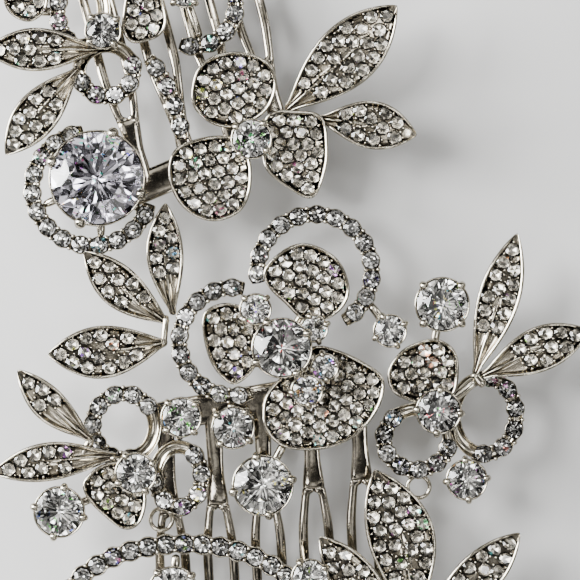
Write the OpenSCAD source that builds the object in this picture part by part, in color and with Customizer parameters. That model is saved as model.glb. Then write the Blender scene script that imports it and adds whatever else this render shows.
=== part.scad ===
// Bridal hair comb: two forked combs under an openwork spray of cast flowers, leaves and
// stone-set rings. It lies face up, X to the right, Y along the combs, Z up.

/* [Castings] */
// Height of the backs of the castings above the surface that the comb lies on
back_z = 7.2; // [7.1:0.1:7.6]
// Thickness of the cast leaves and petals
wall = 0.7; // [0.6:0.1:0.9]
// Height of the bright rim round each leaf and petal above its stone bed
rim_h = 0.4; // [0.3:0.05:0.5]
// Rise of the rib along the middle of each leaf above its stone bed
rib_h = 0.3; // [0.2:0.05:0.4]
// Width of the soldered bars that join the castings of one piece
bar_w = 1.3; // [1:0.1:1.6]

/* [Stone rings] */
// Width of the band that carries one row of stones
band_w = 2.5; // [2.3:0.1:2.6]
// Height of the band
band_h = 0.9; // [0.8:0.1:1]
// Diameter of the stones in the bands
chip_d = 2.1; // [1.9:0.1:2.2]
// Distance between the stones in the bands
chip_pitch = 2.3; // [2.25:0.05:2.5]
// Width of the broad band of the bottom ring
wide_band_w = 2.8; // [2.6:0.1:3]
// Diameter of the stones in the broad band
wide_chip_d = 2.05; // [1.9:0.05:2.1]

/* [Claw-set stones] */
// Depth of a cut stone below its girdle, as a share of its diameter
pavilion = 0.43; // [0.4:0.01:0.45]
// Height of a cut stone above its girdle, as a share of its diameter
crown = 0.15; // [0.12:0.01:0.17]
// Width of the flat table, as a share of the stone's diameter
table = 0.56; // [0.5:0.01:0.62]
// Clearance between a stone and the metal that holds it
seat_gap = 0.1; // [0.08:0.01:0.14]

/* [Combs] */
// Length of the teeth from the middle of the spine to the tips
tooth_l = 38; // [34:1:42]
// Distance between neighbouring forked teeth
tooth_pitch = 6.1; // [5.9:0.1:6.4]
// Width of the stem of a forked tooth
stem_w = 2.3; // [2.2:0.1:2.5]
// Width of each leg of a forked tooth
leg_w = 1.25; // [1.1:0.05:1.35]
// Width over both legs of a forked tooth
fork_w = 4.5; // [4.2:0.1:4.7]
// Thickness of the comb's metal
comb_t = 1.1; // [1:0.1:1.3]
// Width of the spine across the teeth
spine_w = 4; // [3.6:0.1:4.2]
// Height of the spine's middle above the surface
spine_z = 6.3; // [6:0.1:6.4]
// Bow of the teeth, measured from the straight line between spine and tip
tooth_bow = 1.6; // [1.4:0.1:1.8]

/* [Hidden] */

metal = [0.78, 0.77, 0.74];
comb_metal = [0.72, 0.72, 0.7];
glass = [0.86, 0.9, 0.95];
violet_glass = [0.8, 0.8, 0.92];

// Moves the middle of the whole comb to the origin
shift = [0.27, -1.87, 0];

// Leaf tables: base x, base y, tip x, tip y, width, height at base, height at tip, side bend
BX = 0;
BY = 1;
TX = 2;
TY = 3;
LEAF_W = 4;
Z0 = 5;
Z1 = 6;
BEND = 7;
top_leaves = [
    [-0.6, 22.5, 13.4, 35.6, 8, 8.4, 9.8, -0.3],
    [3.5, 21.5, 15.9, 19.4, 6.2, 8.6, 9.6, 0.3]
];
left_leaves = [
    [-14.6, -3.2, -15.6, 10.9, 4.8, 8.8, 9.8, 0.5],
    [-15.2, -4.2, -25.8, 4.8, 5.4, 8.3, 9.4, 0.5],
    [-15.3, -6.5, -30.3, -8.1, 6.8, 8.5, 9.6, 0.4]
];
right_leaves = [
    [23.1, -10.6, 28.4, 7.1, 5.4, 9.6, 10.4, -0.1],
    [24, -10.8, 37.5, -5, 5.8, 9.4, 9.8, 0.3]
];
lower_left_leaves = [
    [-24.8, -18.8, -34.1, -10, 4.4, 9.4, 9.6, 0.4],
    [-21.5, -20.8, -37.3, -22.9, 5, 9.4, 9.2, -0.5]
];
bottom_leaves = [
    [13.8, -42, 3.7, -30.9, 5.6, 8.3, 9, 0.3],
    [15.4, -41.6, 10.6, -22.4, 8.6, 8.6, 9.8, -1.2],
    [16.9, -41.3, 28.8, -30.4, 5.6, 8.3, 9.4, -0.4]
];
crest_leaves = [
    [-24, 30.1, -38.1, 30, 5.6, 9.4, 9.6, 0],
    [-26.5, 27.8, -35.6, 16.9, 5.6, 9.3, 9.6, -0.2]
];

// Petal outlines, each a few points round the rim
petal_top = [[-11.4, 28], [-9.3, 29.4], [-6.3, 29.8], [-2.8, 28.6], [-1.6, 25.8],
    [-2.8, 22.5], [-6.3, 20.4], [-9.6, 20.6], [-12.1, 22.8], [-12.3, 25.5]];
petal_left = [[-14.5, 17.6], [-11.9, 18.9], [-8.5, 19.4], [-5.9, 18.6], [-4.8, 15.6],
    [-5, 11.9], [-6.5, 9.5], [-9.6, 8.5], [-12.5, 9.5], [-14.5, 11.8], [-15.3, 14.8]];
petal_right = [[-2.8, 22.1], [0.6, 22.5], [4, 21.8], [4.8, 18.1], [4.5, 14.8],
    [2.9, 11.4], [0, 12.5], [-3.1, 15.1], [-3.5, 18.8]];
petal_upper = [[-3.3, 2.6], [-0.5, 5.3], [2.6, 5.8], [6.1, 3.8], [7.5, 0.4],
    [6.9, -1.9], [4.9, -3.6], [1.9, -4], [-0.8, -1.6], [-2.8, 0.4]];
petal_west = [[-10.8, -2.8], [-8.5, -1.6], [-6, -2], [-4.3, -4], [-3.5, -6.9],
    [-4.5, -10], [-6.8, -11.9], [-8.5, -11], [-10, -9], [-10.9, -5.8]];
petal_big = [[-0.6, -10.3], [2.6, -7], [6.1, -7.5], [9.3, -9], [11.8, -11], [11.3, -14.4],
    [9.3, -17.3], [7, -19], [3.8, -20], [-0.5, -19.8], [-3, -17.8], [-3.5, -15.3],
    [-2.9, -12.8]];
petal_east = [[12.1, -11], [12.5, -9.3], [13.9, -7.5], [15.8, -6.5], [18, -6], [20, -6.8],
    [21, -8.4], [21.1, -11], [20.5, -13.3], [18.4, -14.6], [14.9, -13.9], [12.9, -12.9]];
petal_low = [[-25.9, -24], [-24, -22], [-21.5, -21.4], [-19, -21.9], [-18, -24.4],
    [-18, -27.3], [-19, -29.5], [-21, -29.9], [-24, -27.6], [-25.5, -25.8]];
petal_corner = [[-35.9, 38], [-34.8, 39.8], [-32.8, 40.5], [-31.2, 39.8], [-30.3, 38],
    [-30.3, 35.8], [-31.2, 34.3], [-32.8, 33.5], [-34.8, 34.3], [-35.8, 35.8]];
petal_crest = [[-21, 32.5], [-20.9, 34.8], [-20.4, 37], [-18.8, 38.5], [-17.1, 38.5],
    [-16, 36.8], [-15.4, 34.5], [-15.5, 32.8], [-16.6, 31.5], [-18.8, 30.8], [-20.1, 31]];

// Rings: centre x, centre y, radius along x, radius along y, first and last angle
RX = 2;
RY = 3;
A0 = 4;
A1 = 5;
ring_large = [-24.9, 12.75, 7.5, 7.2, 98, 345];
ring_upper = [3.1, 2.3, 7.2, 7.2, -60, 192];
ring_left = [-7.1, -6.5, 6.8, 6.8, 78, 290];
ring_right_a = [24.5, -15.8, 3.9, 4.8, 0, 360];
ring_right_b = [15.9, -18.8, 4.1, 3.8, 0, 360];
ring_low_a = [-20.9, -17.1, 3.9, 4.1, 0, 360];
ring_low_b = [-14, -23.5, 2.9, 3.8, 0, 360];
ring_bottom = [-13.3, -40.9, 15.3, 9, 0, 360];
ring_crest_a = [-26.3, 35, 2.9, 4.3, 0, 360];
ring_crest_b = [-23.1, 27.5, 3.4, 3.2, 0, 360];
band_upper = [-12.1, 35.9, 5.3, 5.3, -110, 30];
band_side = [-32, 17.3, 18.5, 18.5, 5, 40];

// Claw-set stones: centre x, centre y, diameter, height of the girdle, turn of the claws,
// height of the foot of the setting
SX = 0;
SY = 1;
SD = 2;
SZ = 3;
TURN = 4;
FOOT = 5;
s_large = [-24, 13.9, 11.6, 12.4, 70, back_z];
s_top = [-4.8, 18.8, 4.6, 12, 52, back_z];
s_centre = [-1, -7.2, 7.1, 13, 30, 8.2];
s_accent_1 = [-4.3, -2.4, 3.5, 11.2, 45, 7.6];
s_accent_2 = [3, -4.8, 3, 11.2, 20, 9];
s_accent_3 = [4.3, -9.6, 3, 11.4, 10, 9];
s_accent_4 = [2.1, -12.5, 3.5, 11.4, 8, 9];
s_left_drop = [-7.1, -17.2, 4.9, 10.6, 52, back_z];
s_lower_drop = [-3.4, -24.4, 7.2, 11, 12, back_z];
s_right_link = [12.5, -5.1, 3.7, 10.2, 26, back_z];
s_right_top = [19, -1.8, 6.4, 11, 45, back_z];
s_right_flower = [18.5, -15.1, 5.2, 12, -5, 8.9];
s_right_lower = [22.1, -23.7, 4.7, 10.4, 5, back_z];
s_left_link = [-13.6, -15.9, 4.6, 10.4, 42, back_z];
s_left_flower = [-19.2, -22.8, 4.7, 12, 30, 8.9];
s_left_corner = [-28.8, -27.7, 6, 10.8, -12, back_z];
s_crest = [-23.3, 32.3, 4.1, 11.4, 40, back_z];
s_ring_top = [-14.6, -37.6, 5.8, 10.6, 40, back_z];
s_bottom_link = [2.5, -35.9, 4.2, 10.6, 34, back_z];
s_bezel = [-13.2, 37.2, 3.4, 10.4, 45, back_z];

function lerp(a, b, t) = a + (b - a) * t;

module placed() {
    translate(shift) children();
}

// Faces between neighbouring rings of k points, n rings in all
function skin(n, k, wrap) = [
    for (i = [0 : wrap ? n - 1 : n - 2], j = [0 : k - 1])
        let (i2 = (i + 1) % n, j2 = (j + 1) % k)
        each [[i * k + j, i * k + j2, i2 * k + j2], [i * k + j, i2 * k + j2, i2 * k + j]]
];

// A closed solid through rings of points, with flat ends or joined end to end
module loft(rings, wrap = false) {
    n = len(rings);
    k = len(rings[0]);
    ends = wrap ? [] : [[for (j = [k - 1 : -1 : 0]) j], [for (j = [0 : k - 1]) (n - 1) * k + j]];
    polyhedron([for (ring = rings) each ring], concat(skin(n, k, wrap), ends));
}

leaf_belly = 1.18;
leaf_fullness = 0.76;
leaf_steps = 7;
leaf_arch = 0.5;
stalk_half = 0.5;
tip_half = 0.15;
bed_edge = 0.82;
back_edge = 0.7;

// Half the width of a leaf along its length, as a share of the widest
function leaf_shape(t) = pow(sin(180 * pow(t, leaf_belly)), leaf_fullness);

// One cross section of a leaf: bed between two rims, with a rib along the middle
function leaf_section(c, side, half, z) =
    let (
        fade = min(1, half),
        flat = [
            [-half * back_edge, -wall * fade], [-half, rim_h * fade], [-half * bed_edge, 0],
            [0, rib_h * fade], [half * bed_edge, 0], [half, rim_h * fade],
            [half * back_edge, -wall * fade]
        ]
    )
    [for (p = flat) [c[0] + side[0] * p[0], c[1] + side[1] * p[0], z + p[1]]];

module leaf(row) {
    base = [row[BX], row[BY]];
    along = [row[TX], row[TY]] - base;
    side = [-along[1], along[0]] / norm(along);
    loft([
        for (i = [0 : leaf_steps])
            let (
                t = i / leaf_steps,
                least = lerp(stalk_half, tip_half, t),
                half = max(least, row[LEAF_W] / 2 * leaf_shape(t)),
                c = base + along * t + side * row[BEND] * 4 * t * (1 - t),
                z = lerp(row[Z0], row[Z1], t) + leaf_arch * 4 * t * (1 - t)
            )
            leaf_section(c, side, half, z)
    ]);
}

// A rounder outline with one more point on each side, after Catmull and Rom
function rounded(p) =
    let (n = len(p))
    [for (i = [0 : n - 1])
        let (a = p[(i + n - 1) % n], b = p[i], c = p[(i + 1) % n], d = p[(i + 2) % n])
        each [b, (9 * (b + c) - a - d) / 16]];

function middle(p) = [for (axis = [0, 1]) (max([for (q = p) q[axis]]) + min([for (q = p) q[axis]])) / 2];

petal_back = 0.96;
petal_bed = 0.9;

// A cupped petal: rim, stone bed and back, rising from its foot to its far edge
module petal(outline, foot, z_foot, z_edge, cup) {
    edge = rounded(outline);
    mid = middle(edge);
    reach = max([for (p = edge) norm(p - foot)]);
    function height(p) = lerp(z_foot, z_edge, norm(p - foot) / reach);
    k = len(edge);
    function ring(share, up) = [
        for (p = edge)
            let (q = mid + (p - mid) * share)
            [q[0], q[1], height(q) + up]
    ];
    rings = [ring(petal_back, -wall), ring(1, rim_h), ring(petal_bed, 0)];
    points = concat([for (r = rings) each r], [
        [mid[0], mid[1], height(mid) - cup - wall],
        [mid[0], mid[1], height(mid) - cup]
    ]);
    low = [for (j = [0 : k - 1]) [(j + 1) % k, j, 3 * k]];
    high = [for (j = [0 : k - 1]) [2 * k + j, 2 * k + (j + 1) % k, 3 * k + 1]];
    polyhedron(points, concat(low, skin(3, k, false), high));
}

function on_ring(r, a) = [r[0] + r[RX] * cos(a), r[1] + r[RY] * sin(a)];
function out_of_ring(r, a) =
    let (v = [cos(a) / r[RX], sin(a) / r[RY]])
    v / norm(v);

// Running length along a ring against the angle
ring_steps = 72;
function ring_run(r) =
    let (step = (r[A1] - r[A0]) / ring_steps)
    [for (i = 0, s = 0; i <= ring_steps;
        i = i + 1, s = s + norm(on_ring(r, r[A0] + i * step) - on_ring(r, r[A0] + (i - 1) * step)))
        [s, r[A0] + i * step]];

// A place beside a ring's middle line, outside it or, with a minus, inside
function beside(r, a, away) = on_ring(r, a) + away * out_of_ring(r, a);

band_step = 2.6;
least_steps = 8;
groove = 0.6;

// A band with a shallow groove along its top for the stones
module band(r, w = band_w) {
    run = ring_run(r);
    whole = r[A1] - r[A0] >= 360;
    n = max(least_steps, round(run[ring_steps][0] / band_step));
    flat = [[-w / 2, 0], [w / 2, 0], [w / 2, band_h], [0, band_h - groove], [-w / 2, band_h]];
    loft([
        for (i = [0 : whole ? n - 1 : n])
            let (
                a = lookup(run[ring_steps][0] * i / n, run),
                c = on_ring(r, a),
                out = out_of_ring(r, a)
            )
            [for (p = flat) [c[0] + out[0] * p[0], c[1] + out[1] * p[0], back_z + p[1]]]
    ], whole);
}

chip_sides = 6;
chip_lift = 0.12;
chip_crown = 0.35;
chip_table = 0.6;
chip_depth = 0.5;

// One small faceted stone
module chip(d) {
    hull() {
        cylinder(h = chip_crown, d1 = d, d2 = d * chip_table, $fn = chip_sides);
        mirror([0, 0, 1]) cylinder(h = chip_depth, d1 = d, d2 = 0, $fn = chip_sides);
    }
}

// The row of stones in a band, from one angle to another
module chips(r, from, to, d = chip_d) {
    part = [r[0], r[1], r[RX], r[RY], from, to];
    run = ring_run(part);
    total = run[ring_steps][0];
    n = floor(total / (chip_pitch + d - chip_d));
    for (i = [0 : n - 1]) {
        a = lookup(total * (i + 0.5) / n, run);
        translate([on_ring(r, a)[0], on_ring(r, a)[1], back_z + band_h + chip_lift])
            rotate([0, 0, a])
            chip(d);
    }
}

// Reach and height of the points of the star facets, as shares of the radius and of the crown
star = 0.8;
star_h = 0.62;

// A round brilliant: table, star, kite and half facets over a pointed back
module brilliant(s) {
    r = s[SD] / 2;
    function at(radius, angle, up) = [radius * cos(angle), radius * sin(angle), up];
    points = concat(
        [for (i = [0 : 15]) at(r, 22.5 * i, 0)],
        [for (i = [0 : 7]) at(r * star, 45 * i + 22.5, s[SD] * crown * star_h)],
        [for (i = [0 : 7]) at(r * table, 45 * i, s[SD] * crown)],
        [[0, 0, -s[SD] * pavilion]]
    );
    back = [for (i = [0 : 15]) [i, (i + 1) % 16, 32]];
    halves = [for (i = [0 : 7]) each [[16 + i, 2 * i + 1, 2 * i],
        [16 + i, (2 * i + 2) % 16, 2 * i + 1]]];
    kites = [for (i = [0 : 7]) each [[24 + i, 16 + i, 2 * i], [24 + i, 2 * i, 16 + (i + 7) % 8]]];
    stars = [for (i = [0 : 7]) [24 + i, 24 + (i + 1) % 8, 16 + i]];
    top = [[for (i = [7 : -1 : 0]) 24 + i]];
    translate([s[SX], s[SY], s[SZ]])
        rotate([0, 0, s[TURN]])
        polyhedron(points, concat(back, halves, kites, stars, top));
}

basket_wall = 0.4;
basket_top = 0.1;
round_over = 5;
claw_half = 0.3;
claw_inset = 0.15;
claw_drop = 0.25;
claw_lean = [40, 0, -35];
claw_rise = 0.12;
ball_least = 0.28;
ball_share = 0.07;
ball_most = 0.9;

// Radius of the middle of a setting's wall where it stands on the casting
function foot_radius(s) = 0.4 + 0.06 * s[SD];

// Four corners of a claw's section, square to the claw, in the plane of its row
function claw_ring(x, z, half, lean) = [
    for (p = [[-1, 1], [1, 1], [1, -1], [-1, -1]])
        [x + p[0] * half * cos(lean), p[1] * half, z + p[0] * half * sin(lean)]
];

// The open collar of a setting and its four claws, standing on the back of the casting
module head(s) {
    d = s[SD];
    r = d / 2;
    sides = d > round_over ? 10 : 8;
    round_up = 1 / cos(180 / sides);
    top_r = (r * (1 - basket_top / pavilion) + seat_gap) * round_up;
    low_r = foot_radius(s) - basket_wall / 2;
    drop = s[SZ] - s[FOOT];
    flat = [
        [low_r, -drop], [low_r + basket_wall, -drop],
        [top_r + basket_wall, -basket_top * d], [top_r, -basket_top * d]
    ];
    shoulder = r + claw_half + 1.2 * seat_gap;
    ball = min(ball_least + ball_share * d, ball_most);
    translate([s[SX], s[SY], s[SZ]]) {
        loft([for (i = [0 : sides - 1]) let (a = 360 * i / sides)
            [for (p = flat) [p[0] * cos(a), p[0] * sin(a), p[1]]]], true);
        for (i = [0 : 3])
            rotate([0, 0, s[TURN] + 90 * i])
                loft([
                    claw_ring(top_r / round_up + claw_inset, -basket_top * d - claw_drop, claw_half,
                        claw_lean[0]),
                    claw_ring(shoulder, seat_gap, claw_half, claw_lean[1]),
                    claw_ring(r + 0.4 * ball, 0.95 * ball + claw_rise, 0.72 * ball, claw_lean[2])
                ]);
    }
}

// A soldered bar between two places on one casting
module bar(a, b, z = back_z, h = 0.9, w = bar_w) {
    along = b - a;
    side = [-along[1], along[0]] / norm(along) * w / 2;
    function end(p) = [
        [p[0] + side[0], p[1] + side[1], z], [p[0] - side[0], p[1] - side[1], z],
        [p[0] - side[0], p[1] - side[1], z + h], [p[0] + side[0], p[1] + side[1], z + h]
    ];
    loft([end(a), end(b)]);
}

// A bar that starts in the wall of a setting
module head_bar(s, b, z = back_z, h = 0.9, w = bar_w) {
    along = b - spot(s);
    bar(spot(s) + along / norm(along) * foot_radius(s), b, z, h, w);
}

function spot(s) = [s[SX], s[SY]];

module top_left_cluster() {
    color(metal) placed() {
        for (row = crest_leaves) leaf(row);
        petal(petal_corner, [-30.4, 35.2], z_foot = 8.6, z_edge = 9.8, cup = 0.5);
        petal(petal_crest, [-20.4, 31.4], z_foot = 9.8, z_edge = 10.4, cup = 0.4);
        band(ring_crest_a);
        band(ring_crest_b);
        head(s_crest);
        head_bar(s_crest, [-24.6, 30.1], h = 2);
        head_bar(s_crest, beside(ring_crest_a, -20, 0.8));
        head_bar(s_crest, beside(ring_crest_b, 90, 0.8));
        head_bar(s_crest, [-19.4, 33], h = 2.2);
        bar([-27.2, 27.8], [-25.9, 29.2], h = 2);
        bar(beside(ring_crest_a, 180, 0.8), [-31.6, 35]);
    }
}

module top_flower() {
    color(metal) placed() {
        petal(petal_top, [-5.4, 20.8], z_foot = 9, z_edge = 10.2, cup = 0.5);
        petal(petal_left, [-5.6, 18], z_foot = 8.8, z_edge = 10, cup = 0.5);
        petal(petal_right, [-3.2, 19.4], z_foot = 9, z_edge = 10, cup = 0.4);
        for (row = top_leaves) leaf(row);
        head(s_top);
        head_bar(s_top, [-6.2, 22], z = 7.6, h = 1.3);
        head_bar(s_top, [-8, 16.6], z = 7.6, h = 1.3);
        head_bar(s_top, [-1, 18.6], z = 7.6, h = 1.3);
        bar([-2.2, 18.8], [4, 21.4], z = 7.6, h = 1);
        bar([-2.2, 18.8], [-0.3, 22.8], z = 7.6, h = 1.1);
    }
}

module upper_link_band() {
    color(metal) placed() {
        band(band_upper);
        head(s_bezel);
        head_bar(s_bezel, beside(band_upper, -80, -0.8));
    }
}

module side_link_band() {
    color(metal) placed() band(band_side);
}

module large_stone_ring() {
    color(metal) placed() {
        band(ring_large);
        head(s_large);
        for (a = [120, 200, 280, 335])
            head_bar(s_large, beside(ring_large, a, -0.8));
    }
}

module left_leaf_spray() {
    color(metal) placed() {
        for (row = left_leaves) leaf(row);
        bar([-15.5, -3], [-15.9, -7.2], z = 7.9, h = 1, w = 0.9);
    }
}

module centre_flower() {
    color(metal) placed() {
        petal(petal_upper, [1, -3.4], z_foot = 9.2, z_edge = 10.2, cup = 0.6);
        petal(petal_west, [-4.2, -6.4], z_foot = 9, z_edge = 9.8, cup = 0.6);
        petal(petal_big, [0.6, -9.4], z_foot = 9.2, z_edge = 10.4, cup = 0.6);
        for (s = [s_centre, s_accent_1, s_accent_2, s_accent_3, s_accent_4, s_lower_drop]) head(s);
        head_bar(s_centre, [2.4, -1.6], z = 8.2, h = 1);
        head_bar(s_centre, [-5.6, -6.6], z = 8.2, h = 0.9);
        head_bar(s_centre, [2.6, -12.4], z = 8.2, h = 1);
        head_bar(s_accent_1, [-4.4, -5.6], z = 7.6, h = 0.9);
        head_bar(s_lower_drop, [-0.6, -19]);
        bar([-1, -19.4], [0.2, -17.6], h = 2.2);
    }
}

module upper_ring() {
    color(metal) placed() {
        band(ring_upper);
        head(s_right_link);
        head_bar(s_right_link, beside(ring_upper, -30, 0.8));
    }
}

module left_ring() {
    color(metal) placed() {
        band(ring_left);
        head(s_left_drop);
        head_bar(s_left_drop, beside(ring_left, 268, 0.8));
    }
}

module right_flower() {
    color(metal) placed() {
        petal(petal_east, [18.6, -13.6], z_foot = 9.6, z_edge = 10.4, cup = 0.5);
        for (row = right_leaves) leaf(row);
        head(s_right_top);
        head(s_right_flower);
        head_bar(s_right_top, [18, -7.4]);
        bar([18.1, -6.8], [17.8, -8.4], h = 2.4);
        head_bar(s_right_flower, [17, -11], z = 8.9, h = 0.8);
        head_bar(s_right_flower, [23.6, -11.2], z = 8.9, h = 0.6);
        bar([22.8, -10.3], [24.4, -12.1], z = 8.9, h = 1);
    }
}

module right_rings() {
    color(metal) placed() {
        band(ring_right_a);
        band(ring_right_b);
        head(s_right_lower);
        head_bar(s_right_lower, beside(ring_right_a, 255, 0.8));
    }
}

module lower_left_flower() {
    color(metal) placed() {
        petal(petal_low, [-19.4, -23], z_foot = 9.8, z_edge = 10.2, cup = 0.5);
        for (row = lower_left_leaves) leaf(row);
        head(s_left_flower);
        head(s_left_corner);
        head_bar(s_left_flower, [-22.4, -25.4], z = 8.95, h = 0.8);
        head_bar(s_left_flower, [-22.6, -20.8], z = 8.9, h = 0.65);
        bar([-24.8, -18.4], [-26.6, -22.2], z = 8.85, h = 0.75);
        head_bar(s_left_corner, [-24.6, -26.1]);
        bar([-25.3, -26.3], [-23.7, -25.8], h = 2.5);
    }
}

module lower_left_rings() {
    color(metal) placed() {
        band(ring_low_a);
        band(ring_low_b);
        head(s_left_link);
        head_bar(s_left_link, beside(ring_low_a, 15, 0.8));
        head_bar(s_left_link, beside(ring_low_b, 90, 0.8));
    }
}

module bottom_ring() {
    color(metal) placed() {
        band(ring_bottom, w = wide_band_w);
        head(s_ring_top);
        head(s_bottom_link);
        head_bar(s_ring_top, beside(ring_bottom, 94, -1.2));
        head_bar(s_bottom_link, beside(ring_bottom, 30, 1.2));
    }
}

module bottom_leaf_spray() {
    color(metal) placed() {
        for (row = bottom_leaves) leaf(row);
        bar([13.2, -42], [17.6, -42], z = 7.4, h = 1.4, w = 2.4);
        bar([13.6, -42], [3.4, -41.2], z = 7.4, h = 0.9);
    }
}

waist_share = 0.85;
fork_run = 4.5;
notch_share = 0.45;
throat = 0.6;
root_run = 1;

// Plan of one forked tooth, from the spine to the rounded tips
module fork_plan(root, notch) {
    half_stem = stem_w / 2;
    half_fork = fork_w / 2;
    slot_half = half_fork - leg_w;
    waist = waist_share * half_stem;
    spread = notch + fork_run;
    end = tooth_l - leg_w / 2;
    half_plan = [
        [half_stem, root], [half_stem, root + spine_w / 2 + root_run], [waist, notch - fork_run],
        [lerp(waist, half_fork, notch_share), notch], [half_fork, spread], [half_fork, end]
    ];
    difference() {
        union() {
            polygon(concat(half_plan, [for (i = [len(half_plan) - 1 : -1 : 0])
                [-half_plan[i][0], half_plan[i][1]]]));
            for (side = [-1, 1])
                translate([side * (half_fork - leg_w / 2), end]) circle(d = leg_w, $fn = 24);
        }
        translate([0, notch + throat]) circle(r = throat, $fn = 24);
        polygon([
            [-throat, notch + throat], [throat, notch + throat], [slot_half, spread],
            [slot_half, 1.1 * tooth_l], [-slot_half, 1.1 * tooth_l], [-slot_half, spread]
        ]);
    }
}

// The comb in its own frame: teeth along Y, spine across them at a slant
module comb(teeth, slant, notch, spine_from, spine_to) {
    tip_z = comb_t / 2;
    chord = norm([tooth_l, spine_z - tip_z]);
    bow_r = (chord * chord / 4 + tooth_bow * tooth_bow) / (2 * tooth_bow);
    lean = atan((spine_z - tip_z) / tooth_l);
    centre_y = tooth_l / 2 - (bow_r - tooth_bow) * sin(lean);
    low_r = bow_r - comb_t / 2;
    centre_z = -sqrt(low_r * low_r - (tooth_l - centre_y) * (tooth_l - centre_y));
    reach = 60;
    intersection() {
        linear_extrude(height = 2 * spine_z) {
            for (i = [0 : teeth - 1]) {
                x = (i - (teeth - 1) / 2) * tooth_pitch;
                translate([x, 0]) fork_plan(x * tan(slant), notch + x * tan(slant));
            }
            polygon([
                [spine_from, spine_from * tan(slant) - spine_w / 2],
                [spine_to, spine_to * tan(slant) - spine_w / 2],
                [spine_to, spine_to * tan(slant) + spine_w / 2],
                [spine_from, spine_from * tan(slant) + spine_w / 2]
            ]);
        }
        translate([-reach / 2, centre_y, centre_z])
            rotate([0, 90, 0])
            difference() {
                cylinder(h = reach, r = bow_r + comb_t / 2, $fn = 96);
                translate([0, 0, -1]) cylinder(h = reach + 2, r = low_r, $fn = 96);
            }
    }
}

module lower_comb() {
    color(comb_metal) placed()
        translate([-3.7, -13.8, 0]) rotate([0, 0, 183])
        comb(teeth = 5, slant = 7, notch = 12.8, spine_from = -14, spine_to = 14);
}

module upper_comb() {
    color(comb_metal) placed()
        translate([-9.7, 16.7, 0]) rotate([0, 0, 15])
        comb(teeth = 4, slant = 8, notch = 9, spine_from = -11.6, spine_to = 12.4);
}

jump_wire = 0.6;
jump_r = 1.4;
jump_z = 6.84;

// A round wire ring that links two castings from behind
module jump_ring(x, y) {
    translate([x, y, jump_z])
        rotate_extrude($fn = 32) translate([jump_r, 0]) circle(d = jump_wire, $fn = 16);
}

module left_jump_ring() {
    color(metal) placed() jump_ring(-16.2, -28.9);
}

module right_jump_ring() {
    color(metal) placed() jump_ring(16.2, -24.8);
}

module large_stone() { color(violet_glass) placed() brilliant(s_large); }
module top_stone() { color(glass) placed() brilliant(s_top); }
module centre_stone() { color(glass) placed() brilliant(s_centre); }
module centre_accent_1() { color(glass) placed() brilliant(s_accent_1); }
module centre_accent_2() { color(glass) placed() brilliant(s_accent_2); }
module centre_accent_3() { color(glass) placed() brilliant(s_accent_3); }
module centre_accent_4() { color(glass) placed() brilliant(s_accent_4); }
module left_drop_stone() { color(glass) placed() brilliant(s_left_drop); }
module lower_drop_stone() { color(glass) placed() brilliant(s_lower_drop); }
module right_link_stone() { color(glass) placed() brilliant(s_right_link); }
module right_top_stone() { color(glass) placed() brilliant(s_right_top); }
module right_flower_stone() { color(glass) placed() brilliant(s_right_flower); }
module right_lower_stone() { color(glass) placed() brilliant(s_right_lower); }
module left_link_stone() { color(glass) placed() brilliant(s_left_link); }
module left_flower_stone() { color(glass) placed() brilliant(s_left_flower); }
module left_corner_stone() { color(glass) placed() brilliant(s_left_corner); }
module crest_stone() { color(glass) placed() brilliant(s_crest); }
module ring_top_stone() { color(glass) placed() brilliant(s_ring_top); }
module bottom_link_stone() { color(glass) placed() brilliant(s_bottom_link); }
module upper_bezel_stone() { color(glass) placed() brilliant(s_bezel); }

module large_ring_chips() { color(glass) placed() chips(ring_large, from = 101, to = 342); }
module upper_ring_chips() { color(glass) placed() chips(ring_upper, from = -55, to = 192); }
module left_ring_chips() { color(glass) placed() chips(ring_left, from = 81, to = 286); }
module right_ring_chips() {
    color(glass) placed() {
        chips(ring_right_a, from = -112, to = 100);
        chips(ring_right_b, from = 118, to = 362);
    }
}
module lower_left_ring_chips() {
    color(glass) placed() {
        chips(ring_low_a, from = 20, to = 300);
        chips(ring_low_b, from = 170, to = 430);
    }
}
module bottom_ring_chips() { color(glass) placed() chips(ring_bottom, from = 0, to = 360, d = wide_chip_d); }
module crest_ring_chips() {
    color(glass) placed() {
        chips(ring_crest_a, from = 56, to = 258);
        chips(ring_crest_b, from = 185, to = 395);
    }
}
module upper_band_chips() { color(glass) placed() chips(band_upper, from = -108, to = 28); }
module side_band_chips() { color(glass) placed() chips(band_side, from = 6, to = 39); }

top_left_cluster();
top_flower();
upper_link_band();
side_link_band();
large_stone_ring();
left_leaf_spray();
centre_flower();
upper_ring();
left_ring();
right_flower();
right_rings();
lower_left_flower();
lower_left_rings();
bottom_ring();
bottom_leaf_spray();
lower_comb();
upper_comb();
left_jump_ring();
right_jump_ring();
large_stone();
top_stone();
centre_stone();
centre_accent_1();
centre_accent_2();
centre_accent_3();
centre_accent_4();
left_drop_stone();
lower_drop_stone();
right_link_stone();
right_top_stone();
right_flower_stone();
right_lower_stone();
left_link_stone();
left_flower_stone();
left_corner_stone();
crest_stone();
ring_top_stone();
bottom_link_stone();
upper_bezel_stone();
large_ring_chips();
upper_ring_chips();
left_ring_chips();
right_ring_chips();
lower_left_ring_chips();
bottom_ring_chips();
crest_ring_chips();
upper_band_chips();
side_band_chips();
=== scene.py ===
import math
import random
from collections import namedtuple

import bmesh
import bpy
from mathutils import Matrix, Vector
from mathutils.bvhtree import BVHTree


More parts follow.
